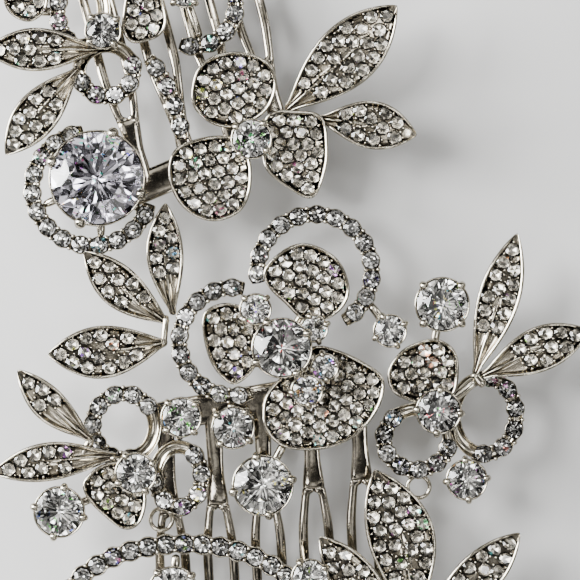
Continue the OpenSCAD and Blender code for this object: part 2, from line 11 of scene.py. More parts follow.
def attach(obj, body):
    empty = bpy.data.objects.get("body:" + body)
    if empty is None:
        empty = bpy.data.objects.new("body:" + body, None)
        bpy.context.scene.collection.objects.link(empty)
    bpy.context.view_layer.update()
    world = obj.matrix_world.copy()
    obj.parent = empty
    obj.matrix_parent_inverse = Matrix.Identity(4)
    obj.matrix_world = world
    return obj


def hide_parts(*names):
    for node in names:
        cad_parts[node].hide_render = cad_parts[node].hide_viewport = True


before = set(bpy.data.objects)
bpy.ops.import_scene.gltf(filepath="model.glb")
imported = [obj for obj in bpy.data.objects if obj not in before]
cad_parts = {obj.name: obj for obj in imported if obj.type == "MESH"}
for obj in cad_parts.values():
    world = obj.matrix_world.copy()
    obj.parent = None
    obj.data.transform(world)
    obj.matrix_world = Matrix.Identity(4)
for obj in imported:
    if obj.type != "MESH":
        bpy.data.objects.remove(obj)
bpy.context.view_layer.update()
random.seed(7)


# The top left cluster: two leaves, two small petals and two stone-set rings round a claw setting.
# Zinc alloy, cast, soldered and silver-plated, with shade painted into its hollows and stone beds, and
# with its finest stones pressed into drilled seats between raised grains.
MM = 0.001
MIDDLE_X, MIDDLE_Y = 0.27, -1.87
PLACE = Matrix.Scale(MM, 4) @ Matrix.Translation((MIDDLE_X, MIDDLE_Y, 0))
BACK_Z = 7.2
BAND_W, BAND_H = 2.5, 0.9
CHIP_D, CHIP_PITCH = 2.1, 2.3
RIM_SEAT = 0.75
PAVE_D, PAVE_PITCH, PAVE_LIFT, SEAT_IN = 1.82, 1.86, 0.4, 0.3
PAVE_MARGIN = RIM_SEAT + PAVE_D / 2 - SEAT_IN
LEAF_D, LEAF_PITCH, LEAF_MARGIN = 1.84, 1.92, 1.3

# Lengths are in millimetres and angles in degrees. A leaf's bend is how far its middle bows to the
# left, a ring's band and a row's stones run from first to last, and turn is where the first claw is.
Leaf = namedtuple("Leaf", "foot_x foot_y tip_x tip_y width foot_z tip_z bend")
Ring = namedtuple("Ring", "x y radius_x radius_y first last")
Row = namedtuple("Row", "ring first last band_w stone_d", defaults=[BAND_W, CHIP_D])
Setting = namedtuple("Setting", "x y stone_d girdle_z turn foot_z", defaults=[BACK_Z])


def new_material(name):
    mat = bpy.data.materials.new(name)
    mat.use_nodes = True
    return mat, mat.node_tree.nodes, mat.node_tree.links


def link_noise(nodes, links, scale, detail):
    coord = nodes.new("ShaderNodeTexCoord")
    noise = nodes.new("ShaderNodeTexNoise")
    noise.inputs["Scale"].default_value = scale
    noise.inputs["Detail"].default_value = detail
    links.new(coord.outputs["Object"], noise.inputs["Vector"])
    return noise.outputs["Fac"]


def ramp(nodes, links, source, stops):
    """A colour ramp over the source, from pairs of a place and a colour."""
    node = nodes.new("ShaderNodeValToRGB")
    while len(node.color_ramp.elements) < len(stops):
        node.color_ramp.elements.new(0.5)
    for element, (place, colour) in zip(node.color_ramp.elements, stops):
        element.position = place
        element.color = (*colour, 1)
    links.new(source, node.inputs["Fac"])
    return node.outputs["Color"]


def roughness_between(nodes, links, source, smooth, rough):
    spread = nodes.new("ShaderNodeMapRange")
    spread.inputs["To Min"].default_value = smooth
    spread.inputs["To Max"].default_value = rough
    links.new(source, spread.inputs["Value"])
    links.new(spread.outputs["Result"], nodes["Principled BSDF"].inputs["Roughness"])


def plated(name, light, shade, shade_in_hollows, rough, shade_reach=0.0007, wave=0.0001, swell=260):
    """Bright plating over a slightly uneven casting, with painted shade: a dark colour mixed in by
    ambient occlusion where little light gets in.
    """
    mat, nodes, links = new_material(name)
    bsdf = nodes["Principled BSDF"]
    bsdf.inputs["Metallic"].default_value = 1
    cloud = link_noise(nodes, links, scale=420, detail=4)
    body = ramp(nodes, links, cloud, [(0.3, shade), (0.7, light)])
    # Painted shade: ambient occlusion mixes the darkest colour into hollows, creases and places under
    # other parts.
    shadow = nodes.new("ShaderNodeAmbientOcclusion")
    shadow.samples = 4
    shadow.inputs["Distance"].default_value = shade_reach
    tone = nodes.new("ShaderNodeMix")
    tone.data_type = "RGBA"
    unshaded = ramp(nodes, links, shadow.outputs["AO"], [(0.25, (0, 0, 0)), (0.8, (1, 1, 1))])
    links.new(unshaded, tone.inputs["Factor"])
    tone.inputs["A"].default_value = (*shade_in_hollows, 1)
    links.new(body, tone.inputs["B"])
    links.new(tone.outputs["Result"], bsdf.inputs["Base Color"])
    fine = link_noise(nodes, links, scale=1500, detail=5)
    roughness_between(nodes, links, fine, rough * 0.6, rough * 1.6)
    uneven = nodes.new("ShaderNodeBump")
    uneven.inputs["Distance"].default_value = wave
    links.new(link_noise(nodes, links, scale=swell, detail=0), uneven.inputs["Height"])
    bump = nodes.new("ShaderNodeBump")
    bump.inputs["Strength"].default_value = 0.25
    bump.inputs["Distance"].default_value = 0.00004
    links.new(fine, bump.inputs["Height"])
    links.new(uneven.outputs["Normal"], bump.inputs["Normal"])
    links.new(bump.outputs["Normal"], bsdf.inputs["Normal"])
    return mat


def glass(name, tint, ior):
    """Clear cut glass with a faint cloudy tint."""
    mat, nodes, links = new_material(name)
    bsdf = nodes["Principled BSDF"]
    bsdf.inputs["Transmission Weight"].default_value = 1
    bsdf.inputs["IOR"].default_value = ior
    bsdf.inputs["Roughness"].default_value = 0
    cloud = link_noise(nodes, links, scale=300, detail=2)
    warm = tuple(min(1, c * 1.03) for c in tint)
    body = ramp(nodes, links, cloud, [(0.35, tint), (0.65, warm)])
    links.new(body, bsdf.inputs["Base Color"])
    return mat


def foil(name, tint, least, painted_fire, smooth=0.0, rough=0.08):
    """The mirror foil behind a stone, with painted sparkle: a painted shade for each facet, a painted
    dark rim and a few painted coloured glints.
    """
    mat, nodes, links = new_material(name)
    bsdf = nodes["Principled BSDF"]
    bsdf.inputs["Metallic"].default_value = 1
    # Painted reflection: each facet's shade and the near-black rim stand in for the light and dark that
    # the stone reflects.
    facet = nodes.new("ShaderNodeAttribute")
    facet.attribute_name = "facet"
    rim, painted_dark_facet = (0.02, 0.018, 0.015), tuple(c * least for c in tint)
    shade = ramp(nodes, links, facet.outputs["Fac"], [(0, rim), (0.01, painted_dark_facet), (0.5, tint)])
    # Painted glints: a few small cells turn a bright hue, standing in for the coloured light a cut
    # stone throws.
    coord = nodes.new("ShaderNodeTexCoord")
    glint = nodes.new("ShaderNodeTexVoronoi")
    glint.inputs["Scale"].default_value = 2300
    links.new(coord.outputs["Object"], glint.inputs["Vector"])
    parts = nodes.new("ShaderNodeSeparateColor")
    links.new(glint.outputs["Color"], parts.inputs["Color"])
    hue = nodes.new("ShaderNodeCombineColor")
    hue.mode = "HSV"
    hue.inputs["Green"].default_value = 0.7
    hue.inputs["Blue"].default_value = 1
    links.new(parts.outputs["Red"], hue.inputs["Red"])
    rare = nodes.new("ShaderNodeMath")
    rare.operation = "LESS_THAN"
    rare.inputs[1].default_value = painted_fire
    links.new(parts.outputs["Green"], rare.inputs[0])
    tone = nodes.new("ShaderNodeMix")
    tone.data_type = "RGBA"
    links.new(rare.outputs["Value"], tone.inputs["Factor"])
    links.new(shade, tone.inputs["A"])
    links.new(hue.outputs["Color"], tone.inputs["B"])
    links.new(tone.outputs["Result"], bsdf.inputs["Base Color"])
    smear = link_noise(nodes, links, scale=900, detail=3)
    roughness_between(nodes, links, smear, smooth, rough)
    return mat


# The castings' plating, with painted shade in its hollows, and a darker plating for the beds of leaves
# and petals: painted shade in those recesses.
SILVER = plated("bright_plating", (0.56, 0.52, 0.43), (0.34, 0.31, 0.25), (0.04, 0.03, 0.018), 0.12)
SHADED_BED = plated("bed_painted_shade", (0.46, 0.42, 0.34), (0.22, 0.19, 0.14), (0.02, 0.014, 0.008), 0.2,
             shade_reach=0.0006)
FINE_GLASS = glass("fine_stone_glass", (0.96, 0.95, 0.91), 1.56)
# Foil for the fine stones, with painted sparkle: a painted shade for each facet, a painted dark rim and
# a few painted coloured glints.
FINE_FOIL = foil("fine_stone_foil", (0.92, 0.885, 0.81), least=0.2, painted_fire=0.012, smooth=0.05, rough=0.2)


def join(bm, part):
    mesh = bpy.data.meshes.new("part")
    part.to_mesh(mesh)
    part.free()
    bm.from_mesh(mesh)
    bpy.data.meshes.remove(mesh)


def shell(bm, cells_u, cells_v, place, dark=()):
    """A grid, each corner moved to where place(u, v) says, with its seams merged and ends closed.

    The rows of cells listed in dark get the second material, which paints shade into them.
    """
    part = bmesh.new()
    bmesh.ops.create_grid(part, x_segments=cells_u, y_segments=cells_v, size=0.5)
    for face in part.faces:
        face.material_index = int(int((face.calc_center_median().y + 0.5) * cells_v) in dark)
    for vert in part.verts:
        vert.co = place(vert.co.x + 0.5, vert.co.y + 0.5)
    bmesh.ops.remove_doubles(part, verts=part.verts, dist=1e-4)
    bmesh.ops.holes_fill(part, edges=part.edges, sides=0)
    for face in part.faces:
        face.smooth = True
    bmesh.ops.recalc_face_normals(part, faces=part.faces)
    tree = BVHTree.FromBMesh(part)
    join(bm, part)
    return tree


def between(a, b, t):
    return a + (b - a) * t


LEAF_SIDE = [  # share of the half width, outward, up
    (0, 0, -0.7), (0.6, 0, -0.62), (0.93, 0, -0.3), (1, 0, 0.1), (1, -0.08, 0.4), (1, -0.32, 0.47),
    (1, -0.56, 0.26), (1, -0.66, -0.15), (0.5, 0, -0.2), (0, 0.32, -0.18), (0, 0.2, 0.26), (0, 0, 0.36),
]
LEAF_CELLS, LEAF_EDGE_STEPS = 18, 24
LEAF_BED_FROM, LEAF_RIB_FROM, LEAF_BED_Z = 7, 9, -0.2
LEAF_RISE, LEAF_FULL_HALF = 0.5, 1.2
STALK_HALF, TIP_HALF = 0.5, 0.15
LEAF_BELLY, LEAF_ROUND = 1.18, 0.76
RIB_TO, RIB_CLEAR_FOOT, RIB_CLEAR_END = 0.6, 1.05, 0.75


def leaf_half(row, t):
    least = between(STALK_HALF, TIP_HALF, t)
    return max(least, row.width / 2 * max(0, math.sin(math.pi * t ** LEAF_BELLY)) ** LEAF_ROUND)


def leaf_middle(row, t):
    """The point on the leaf's middle line at t, and the direction across it."""
    foot, tip = Vector(row[0:2]), Vector(row[2:4])
    along = tip - foot
    side = Vector((-along.y, along.x)).normalized()
    return foot + along * t + side * row.bend * 4 * t * (1 - t), side


def leaf(bm, row):
    """A pointed leaf: rolled rim, a bed with painted shade in its darker plating, and a rib that fades
    out towards the tip.
    """
    section = LEAF_SIDE + LEAF_SIDE[-2:0:-1]
    turn = len(LEAF_SIDE) - 1

    def place(u, v):
        i = round(v * len(section)) % len(section)
        share, out, up = section[i]
        half = leaf_half(row, u)
        size = min(1, half / LEAF_FULL_HALF)
        rib = max(0, 1 - u / RIB_TO)
        if LEAF_RIB_FROM <= i <= 2 * turn - LEAF_RIB_FROM:
            up = between(LEAF_BED_Z, up, rib)
        c, side = leaf_middle(row, u)
        x = (share * half + out * size) * (1 if i <= turn else -1)
        z = between(row.foot_z, row.tip_z, u) + 4 * LEAF_RISE * u * (1 - u) + up * size
        return Vector((c.x + side.x * x, c.y + side.y * x, z))

    # The bed's rows get the second material, painted shade.
    left_bed = (LEAF_BED_FROM, LEAF_BED_FROM + 1)
    right_bed = (2 * turn - LEAF_BED_FROM - 2, 2 * turn - LEAF_BED_FROM - 1)
    tree = shell(bm, LEAF_CELLS, len(section), place, left_bed + right_bed)

    def edge_point(step, sign):
        t = step / LEAF_EDGE_STEPS
        c, side = leaf_middle(row, t)
        return c + side * leaf_half(row, t) * sign

    edge = [edge_point(step, 1) for step in range(LEAF_EDGE_STEPS + 1)]
    edge += [edge_point(step, -1) for step in range(LEAF_EDGE_STEPS, -1, -1)]

    def off_rib(p):
        foot, tip = Vector(row[0:2]), Vector(row[2:4])
        t = (p - foot).dot(tip - foot) / (tip - foot).length_squared
        c, side = leaf_middle(row, max(0, min(1, t)))
        return t > RIB_TO or abs((p - c).dot(side)) > between(RIB_CLEAR_FOOT, RIB_CLEAR_END, t / RIB_TO)

    return tree, edge, off_rib


PETAL_ROWS = [  # share of the way from the middle, outward, up
    (0, 0, -0.7), (0.5, 0, -0.7), (1, -0.4, -0.62), (1, -0.06, -0.3), (1, 0, 0.12),
    (1, -0.08, 0.4), (1, -0.32, 0.47), (1, -0.56, 0.26), (1, -0.66, -0.15), (0.62, 0, -0.15),
    (0.3, 0, -0.15), (0, 0, -0.15),
]
# The petal's bed rows, which get the second material, painted shade.
PETAL_BED = (8, 9, 10)
PETAL_STEPS, CURVE_STEPS = 44, 10


def loop_of(points, count):
    """A smooth closed curve through the points, as count evenly spaced ones."""
    ring = [Vector(p) for p in points]
    n = len(ring)
    dense = []
    for i in range(n):
        a, b, c, d = (ring[(i + k) % n] for k in (-1, 0, 1, 2))
        for j in range(CURVE_STEPS):
            t = j / CURVE_STEPS
            dense.append(0.5 * (2 * b + (c - a) * t + (2 * a - 5 * b + 4 * c - d) * t * t
                                + (3 * b - a - 3 * c + d) * t ** 3))
    spans = [(dense[(i + 1) % len(dense)] - p).length for i, p in enumerate(dense)]
    out, i, run = [], 0, 0.0
    for k in range(count):
        goal = sum(spans) * k / count
        while run + spans[i] < goal:
            run += spans[i]
            i += 1
        out.append(dense[i].lerp(dense[(i + 1) % len(dense)], (goal - run) / spans[i]))
    return out


def petal(bm, outline, foot, foot_z, edge_z, cup):
    """A cupped petal: thin back, rolled rim and a bed with painted shade in its darker plating."""
    edge = loop_of(outline, PETAL_STEPS)
    xs, ys = [p.x for p in edge], [p.y for p in edge]
    middle = Vector(((max(xs) + min(xs)) / 2, (max(ys) + min(ys)) / 2))
    foot = Vector(foot)
    reach = max((p - foot).length for p in edge)

    def place(u, v):
        share, out, up = PETAL_ROWS[round(v * (len(PETAL_ROWS) - 1))]
        ray = edge[round(u * len(edge)) % len(edge)] - middle
        share += out / ray.length
        p = middle + ray * share
        z = between(foot_z, edge_z, (p - foot).length / reach) + up - cup * (1 - share * share)
        return Vector((p.x, p.y, z))

    tree = shell(bm, len(edge), len(PETAL_ROWS) - 1, place, PETAL_BED)
    return tree, edge, lambda p: True


BAND_SECTION = [  # share of the half width, share of the height
    (-1, 0), (1, 0), (1, 0.6), (0.97, 0.9), (0.88, 1.02), (0.74, 0.9), (0.6, 0.3),
    (-0.6, 0.3), (-0.74, 0.9), (-0.88, 1.02), (-0.97, 0.9), (-1, 0.6),
]
BAND_STEP, BAND_WAIST = 0.36, 0.72
BAND_GRAIN_OUT, BAND_GRAIN_LIFT, BAND_GRAIN_R, BAND_GRAIN_TALL = 0.38, 0.12, 0.38, 1.2
ARC_STEPS = 180


def ring_point(ring, angle, out=0.0):
    c, s = math.cos(angle), math.sin(angle)
    normal = Vector((c / ring.radius_x, s / ring.radius_y)).normalized()
    return Vector((ring.x + ring.radius_x * c, ring.y + ring.radius_y * s)) + normal * out


def ring_angles(ring, first, last, shares):
    """Angles at the given shares of the running length from the first to the last, and that length."""
    angles = [math.radians(between(first, last, i / ARC_STEPS)) for i in range(ARC_STEPS + 1)]
    runs = [0.0]
    for a, b in zip(angles, angles[1:]):
        runs.append(runs[-1] + (ring_point(ring, b) - ring_point(ring, a)).length)
    out, i = [], 0
    for share in shares:
        goal = share * runs[-1]
        while i < ARC_STEPS - 1 and runs[i + 1] < goal:
            i += 1
        out.append(between(angles[i], angles[i + 1], (goal - runs[i]) / (runs[i + 1] - runs[i])))
    return out, runs[-1]


def row_spots(row):
    """The angles of a row's stones, evenly spaced along its ring."""
    pitch = CHIP_PITCH + row.stone_d - CHIP_D
    length = ring_angles(row.ring, row.first, row.last, [0])[1]
    count = int(length / pitch)
    return ring_angles(row.ring, row.first, row.last, [(i + 0.5) / count for i in range(count)])[0]


def grain(bm, p, radius, tall):
    """A grain of metal, taller than it is wide by the factor tall."""
    matrix = Matrix.Translation(p) @ Matrix.Diagonal((1, 1, tall, 1))
    made = bmesh.ops.create_icosphere(bm, subdivisions=1, radius=radius, matrix=matrix)
    for face in {f for v in made["verts"] for f in v.link_faces}:
        face.smooth = True


def band(bm, row):
    """A grooved band whose sides curve round each stone, with pairs of grains between the stones."""
    ring, half_w = row.ring, row.band_w / 2
    spots = row_spots(row)
    length = ring_angles(ring, ring.first, ring.last, [0])[1]
    count = round(length / BAND_STEP)
    angles = ring_angles(ring, ring.first, ring.last, [i / count for i in range(count + 1)])[0]

    def half(angle):
        p = ring_point(ring, angle)
        near = min((ring_point(ring, a) - p).length for a in spots)
        return max(math.sqrt(max(0, half_w ** 2 - near * near)), BAND_WAIST * half_w)

    def place(u, v):
        x, up = BAND_SECTION[round(v * len(BAND_SECTION)) % len(BAND_SECTION)]
        angle = angles[round(u * count)]
        p = ring_point(ring, angle, x * half(angle))
        return Vector((p.x, p.y, BACK_Z + up * BAND_H))

    shell(bm, count, len(BAND_SECTION), place)
    for a, b in zip(spots, spots[1:]):
        for out in (-BAND_GRAIN_OUT * row.stone_d, BAND_GRAIN_OUT * row.stone_d):
            p = ring_point(ring, (a + b) / 2, out)
            seat = Vector((p.x, p.y, BACK_Z + BAND_H + BAND_GRAIN_LIFT))
            grain(bm, seat, BAND_GRAIN_R, BAND_GRAIN_TALL)


FOOT_R, FOOT_SPREAD, FOOT_WALL = 0.4, 0.06, 0.2
BALL_LEAST, BALL_SPREAD, BALL_MOST = 0.26, 0.06, 0.92
CLAWS, CLAW_SIDES, COLLAR_SIDES = 4, 8, 20


def foot_radius(setting):
    return FOOT_R + FOOT_SPREAD * setting.stone_d


def foot_of(setting, p):
    """The point on the setting's foot that faces p, where a bar is soldered on."""
    middle = Vector(setting[0:2])
    return middle + (Vector(p) - middle).normalized() * foot_radius(setting)


def foot_bar(setting, p, *size):
    """A bar from the setting's foot to p, with its height, thickness and width where they differ."""
    return foot_of(setting, p), p, *size


def collar(bm, setting):
    """The open cone under the stone, spun from its wall's outline."""
    d, r, low = setting.stone_d, setting.stone_d / 2, foot_radius(setting)
    drop = setting.girdle_z - setting.foot_z
    top = r * 0.66 + 0.12
    outline = [  # radius, height from the girdle
        (low - FOOT_WALL, -drop), (low + FOOT_WALL, -drop), (top + 0.45, -0.15 * d),
        (r + 0.32, -0.05 * d - 0.05), (r + 0.36, 0.02), (r + 0.22, 0.1), (r + 0.06, 0.0),
        (0.94 * r, -0.05 * d), (top, -0.15 * d),
    ]
    part = bmesh.new()
    verts = [part.verts.new((radius, 0, height)) for radius, height in outline]
    edges = [part.edges.new(pair) for pair in zip(verts, verts[1:] + verts[:1])]
    bmesh.ops.spin(part, geom=verts + edges, cent=(0, 0, 0), axis=(0, 0, 1), angle=math.tau,
                   steps=COLLAR_SIDES, use_merge=True)
    bmesh.ops.recalc_face_normals(part, faces=part.faces)
    for face in part.faces:
        face.smooth = True
    bmesh.ops.translate(part, vec=(setting.x, setting.y, setting.girdle_z), verts=part.verts)
    join(bm, part)


def claw(bm, setting, angle):
    """A bent claw whose round tip holds the edge of the stone."""
    d, r = setting.stone_d, setting.stone_d / 2
    ball = min(BALL_LEAST + BALL_SPREAD * d, BALL_MOST)
    path = [  # outward, up, thickness
        (0.8 * r, -0.2 * d, 0.0), (0.86 * r + 0.1, -0.17 * d, 0.38), (r + 0.26, -0.06 * d, 0.42),
        (r + 0.36, 0.12, 0.45), (r + 0.34, 0.45 * ball, 0.8 * ball), (r + 0.14, 0.8 * ball, ball),
        (r - 0.3 * ball, 0.95 * ball, 0.86 * ball), (r - 0.85 * ball, 0.85 * ball, 0.0),
    ]
    girdle = Vector((setting.x, setting.y, setting.girdle_z))
    outward = Vector((math.cos(angle), math.sin(angle), 0))
    across = Vector((-math.sin(angle), math.cos(angle), 0))

    def place(u, v):
        i = round(u * (len(path) - 1))
        out, up, thick = path[i]
        before, after = path[max(0, i - 1)], path[min(len(path) - 1, i + 1)]
        lean = Vector((after[0] - before[0], after[1] - before[1])).normalized()
        b = math.tau * v
        rise = outward * -lean.y * math.cos(b) + Vector((0, 0, lean.x * math.cos(b)))
        return girdle + outward * out + Vector((0, 0, up)) + (rise + across * math.sin(b)) * thick

    shell(bm, len(path) - 1, CLAW_SIDES, place)


def head(bm, setting):
    collar(bm, setting)
    for k in range(CLAWS):
        claw(bm, setting, math.radians(setting.turn + 360 / CLAWS * k))


BAR_CELLS, BAR_SIDES, BAR_ROUND = 3, 8, 0.6


def bar(bm, start, end, z=BACK_Z, h=0.9, w=1.2):
    """A soldered bar with rounded edges."""
    start, end = Vector(start), Vector(end)
    side = Vector((start.y - end.y, end.x - start.x)).normalized()

    def place(u, v):
        turn = math.tau * (v + 1 / BAR_SIDES)
        c, s = math.cos(turn), math.sin(turn)
        x = math.copysign(abs(c) ** BAR_ROUND, c) * w / 2
        up = math.copysign(abs(s) ** BAR_ROUND, s) * h / 2 + h / 2
        p = start.lerp(end, u) + side * x
        return Vector((p.x, p.y, z + up))

    shell(bm, BAR_CELLS, BAR_SIDES, place)


def edge_gap(p, loop):
    """Distance from a point to an outline, less than nothing outside it."""
    inside, best = False, math.inf
    for a, b in zip(loop, loop[1:] + loop[:1]):
        if (a.y > p.y) != (b.y > p.y) and p.x < (b.x - a.x) * (p.y - a.y) / (b.y - a.y) + a.x:
            inside = not inside
        ab = b - a
        if ab.length_squared:
            t = max(0, min(1, (p - a).dot(ab) / ab.length_squared))
            best = min(best, (a + ab * t - p).length_squared)
    return math.sqrt(best) * (1 if inside else -1)


HONEY_TURNS, HONEY_SHIFTS = range(0, 60, 12), (0, 0.25, 0.5, 0.75)
HONEY_X, HONEY_Y, HONEY_EDGE = 0.96, 0.83, 0.3
SETTLE_LAPS, HOLE_LAPS, CLOSEST = 60, 12, 0.84
SPREAD_PUSH, EDGE_PUSH, EDGE_SLACK = 0.35, 0.8, 0.22
CELL, CELL_REACH, CELL_SLACK, PROBE = 0.3, 40, 0.1, 0.05


def honeycomb(loop, pitch, margin, free):
    """The fullest of many honeycombs of places inside an outline."""
    middle = sum(loop, Vector((0, 0))) / len(loop)
    reach = max((p - middle).length for p in loop)
    rows = range(-int(reach / pitch) - 1, int(reach / pitch) + 2)
    best = []
    for turn in HONEY_TURNS:
        c, s = math.cos(math.radians(turn)), math.sin(math.radians(turn))
        for shift in HONEY_SHIFTS:
            spots = []
            for j in rows:
                for i in rows:
                    x, y = (i + 0.5 * (j % 2) + shift) * pitch * HONEY_X, (j + shift) * pitch * HONEY_Y
                    q = middle + Vector((x * c - y * s, x * s + y * c))
                    if free(q) and edge_gap(q, loop) > margin - HONEY_EDGE * pitch:
                        spots.append(q)
            if len(spots) > len(best):
                best = spots
    return best


def free_cells(loop, margin, free):
    """A fine grid of points where a further stone could lie."""
    middle = sum(loop, Vector((0, 0))) / len(loop)
    reach = max((p - middle).length for p in loop)
    steps = range(-CELL_REACH, CELL_REACH + 1)
    cells = [middle + Vector((i, j)) * CELL for i in steps for j in steps]
    return [p for p in cells
            if (p - middle).length < reach and free(p) and edge_gap(p, loop) > margin - CELL_SLACK]


def fill(loop, pitch, margin, free):
    """Stone places inside an outline: a honeycomb let settle in several laps, with holes filled."""
    best = honeycomb(loop, pitch, margin, free)
    cells = free_cells(loop, margin, free)
    step = Vector((PROBE, 0)), Vector((0, PROBE))
    for lap in range(SETTLE_LAPS):
        if lap % HOLE_LAPS == HOLE_LAPS - 1:
            hole = max(cells, key=lambda p: min((p - q).length for q in best))
            if min((hole - q).length for q in best) > CLOSEST * pitch:
                best.append(hole)
        for i, p in enumerate(best):
            push = Vector((0, 0))
            for q in best:
                gap = p - q
                if 0 < gap.length < pitch:
                    push += gap * (pitch / gap.length - 1) * SPREAD_PUSH
            near = edge_gap(p, loop)
            if near < margin:
                slope = Vector([edge_gap(p + k, loop) - near for k in step])
                if slope.length:
                    push += slope.normalized() * (margin - near) * EDGE_PUSH
            if free(p + push):
                best[i] = p + push
    kept = []
    for p in best:
        inside = edge_gap(p, loop) > margin - EDGE_SLACK
        if inside and all((p - q).length > pitch * CLOSEST for q in kept):
            kept.append(p)
    return kept


GIRDLE, STAR_R, PAVILION_R = 0.012, 0.385, 0.12
# Facets centred further out than this get the painted dark rim; the others a painted shade from the
# least up to full.
PAINTED_RIM_R, FACET_LEAST = 0.41, 0.02


def cut_stone(sides, crown, table, depth, stars=False, ring=None):
    """A cut stone of unit diameter: the faces over its corner points, glass above and foil below."""
    part = bmesh.new()
    half = math.cos(math.tau / sides)

    def corner(radius, angle, z):
        part.verts.new((radius * math.cos(angle), radius * math.sin(angle), z))

    for i in range(sides):
        angle = math.tau * i / sides
        corner(0.5, angle, GIRDLE)
        corner(0.5, angle, -GIRDLE)
        if i % 2 == 0:
            corner(table / 2, angle, crown)
            if ring:
                corner(ring[0], angle, ring[1])
        elif stars:
            corner(STAR_R, angle, crown * (0.5 - STAR_R * half) / (0.5 - table / 2))
            corner(PAVILION_R, angle, -depth * (1 - 2 * PAVILION_R * half))
    corner(0, 0, -depth)
    bmesh.ops.convex_hull(part, input=part.verts)
    bmesh.ops.dissolve_limit(part, angle_limit=math.radians(1), verts=part.verts, edges=part.edges)
    bmesh.ops.recalc_face_normals(part, faces=part.faces)
    for face in part.faces:
        face.material_index = int(face.normal.z < 0.02)
    mesh = bpy.data.meshes.new("cut")
    part.to_mesh(mesh)
    part.free()
    return mesh


def stone(bm, cut, p, d, normal=Vector((0, 0, 1)), turn=0.0):
    """Adds a cut stone, with a painted shade at random for each facet, and none, which the foil paints
    as a dark rim, for the facets near its girdle.
    """
    first, known = len(bm.verts), len(bm.faces)
    bm.from_mesh(cut)
    bm.verts.ensure_lookup_table()
    bm.faces.ensure_lookup_table()
    # The facet attribute holds the painted shade that the foil shows.
    shade = bm.faces.layers.float.get("facet") or bm.faces.layers.float.new("facet")
    for face in bm.faces[known:]:
        rim = face.calc_center_median().xy.length > PAINTED_RIM_R
        face[shade] = 0 if rim else random.uniform(FACET_LEAST, 1)
    tilt = Vector((0, 0, 1)).rotation_difference(normal).to_matrix().to_4x4()
    matrix = Matrix.Translation(p) @ tilt @ Matrix.Rotation(turn, 4, "Z") @ Matrix.Scale(d, 4)
    bmesh.ops.transform(bm, matrix=matrix, verts=bm.verts[first:])


SMALL_CUT = cut_stone(12, crown=0.13, table=0.6, depth=0.18, ring=(0.44, -0.075))
ABOVE_ALL, BED_LEAN, LEAST_UP = 30, 0.7, 0.5
PAVE_SIZES, PAVE_TILT = (0.96, 1.03), 0.06
GRAIN_SPOTS, GRAIN_OUT, GRAIN_CLEAR, GRAIN_EDGE, GRAIN_PITCH = 9, 0.15, 0.06, 0.6, 0.55
GRAIN_SIZES, GRAIN_SINK, GRAIN_TALL = (0.24, 0.3), 0.15, 1.7


def pave(metal, stones, bedded, d, pitch, margin):
    """Fills a bed with small stones, and raises a grain of metal in each gap between them."""
    tree, loop, free = bedded
    down = Vector((0, 0, -1))
    spots = fill(loop, pitch, margin, free)
    grains = []
    for s in spots:
        hit, normal = tree.ray_cast(Vector((s.x, s.y, ABOVE_ALL)), down)[:2]
        if hit is None:
            continue
        lean = Vector((normal.x * BED_LEAN, normal.y * BED_LEAN, max(normal.z, LEAST_UP)))
        size = d * random.uniform(*PAVE_SIZES)
        slip = Vector((random.gauss(0, PAVE_TILT), random.gauss(0, PAVE_TILT), 0))
        normal = (lean.normalized() + slip).normalized()
        stone(stones, SMALL_CUT, hit + normal * PAVE_LIFT, size, normal, random.uniform(0, 1))
        for k in range(GRAIN_SPOTS):
            a = math.tau * k / GRAIN_SPOTS
            q = s + Vector((math.cos(a), math.sin(a))) * (d / 2 + GRAIN_OUT)
            between_stones = all((q - t).length > d / 2 + GRAIN_CLEAR for t in spots)
            apart = all((q - g).length > GRAIN_PITCH for g in grains)
            if between_stones and apart and edge_gap(q, loop) > GRAIN_EDGE:
                grains.append(q)
    for q in grains:
        hit = tree.ray_cast(Vector((q.x, q.y, ABOVE_ALL)), down)[0]
        if hit is not None:
            seat = hit + Vector((0, 0, PAVE_LIFT - GRAIN_SINK))
            grain(metal, seat, random.uniform(*GRAIN_SIZES), GRAIN_TALL)


def piece(name, bm, materials, nodes=(), smooth=0):
    bmesh.ops.transform(bm, matrix=PLACE, verts=bm.verts)
    mesh = bpy.data.meshes.new(name)
    bm.to_mesh(mesh)
    bm.free()
    for material in materials:
        mesh.materials.append(material)
    made = bpy.data.objects.new(name, mesh)
    bpy.context.scene.collection.objects.link(made)
    if smooth:
        finish = made.modifiers.new("Subdivision", "SUBSURF")
        finish.levels = finish.render_levels = smooth
    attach(made, "root")
    if nodes:
        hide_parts(*nodes)


def casting(name, leaves=(), petals=(), bands=(), heads=(), bars=()):
    """One soldered casting with its settings, grains and finest stones.

    A petal is its outline, foot, foot height, edge height and cup, and a bar is its start, end,
    height of its underside, thickness and width.
    """
    metal, stones = bmesh.new(), bmesh.new()
    for row in leaves:
        pave(metal, stones, leaf(metal, row), LEAF_D, LEAF_PITCH, LEAF_MARGIN)
    for row in petals:
        pave(metal, stones, petal(metal, *row), PAVE_D, PAVE_PITCH, PAVE_MARGIN)
    for row in bands:
        band(metal, row)
    for setting in heads:
        head(metal, setting)
    for row in bars:
        bar(metal, *row)
    if leaves or petals:
        piece(name + "_pave", stones, [FINE_GLASS, FINE_FOIL])
    else:
        stones.free()
    # The second material, the darker bed plating, paints shade into the beds.
    piece(name + "_cast", metal, [SILVER, SHADED_BED], [name], 1)


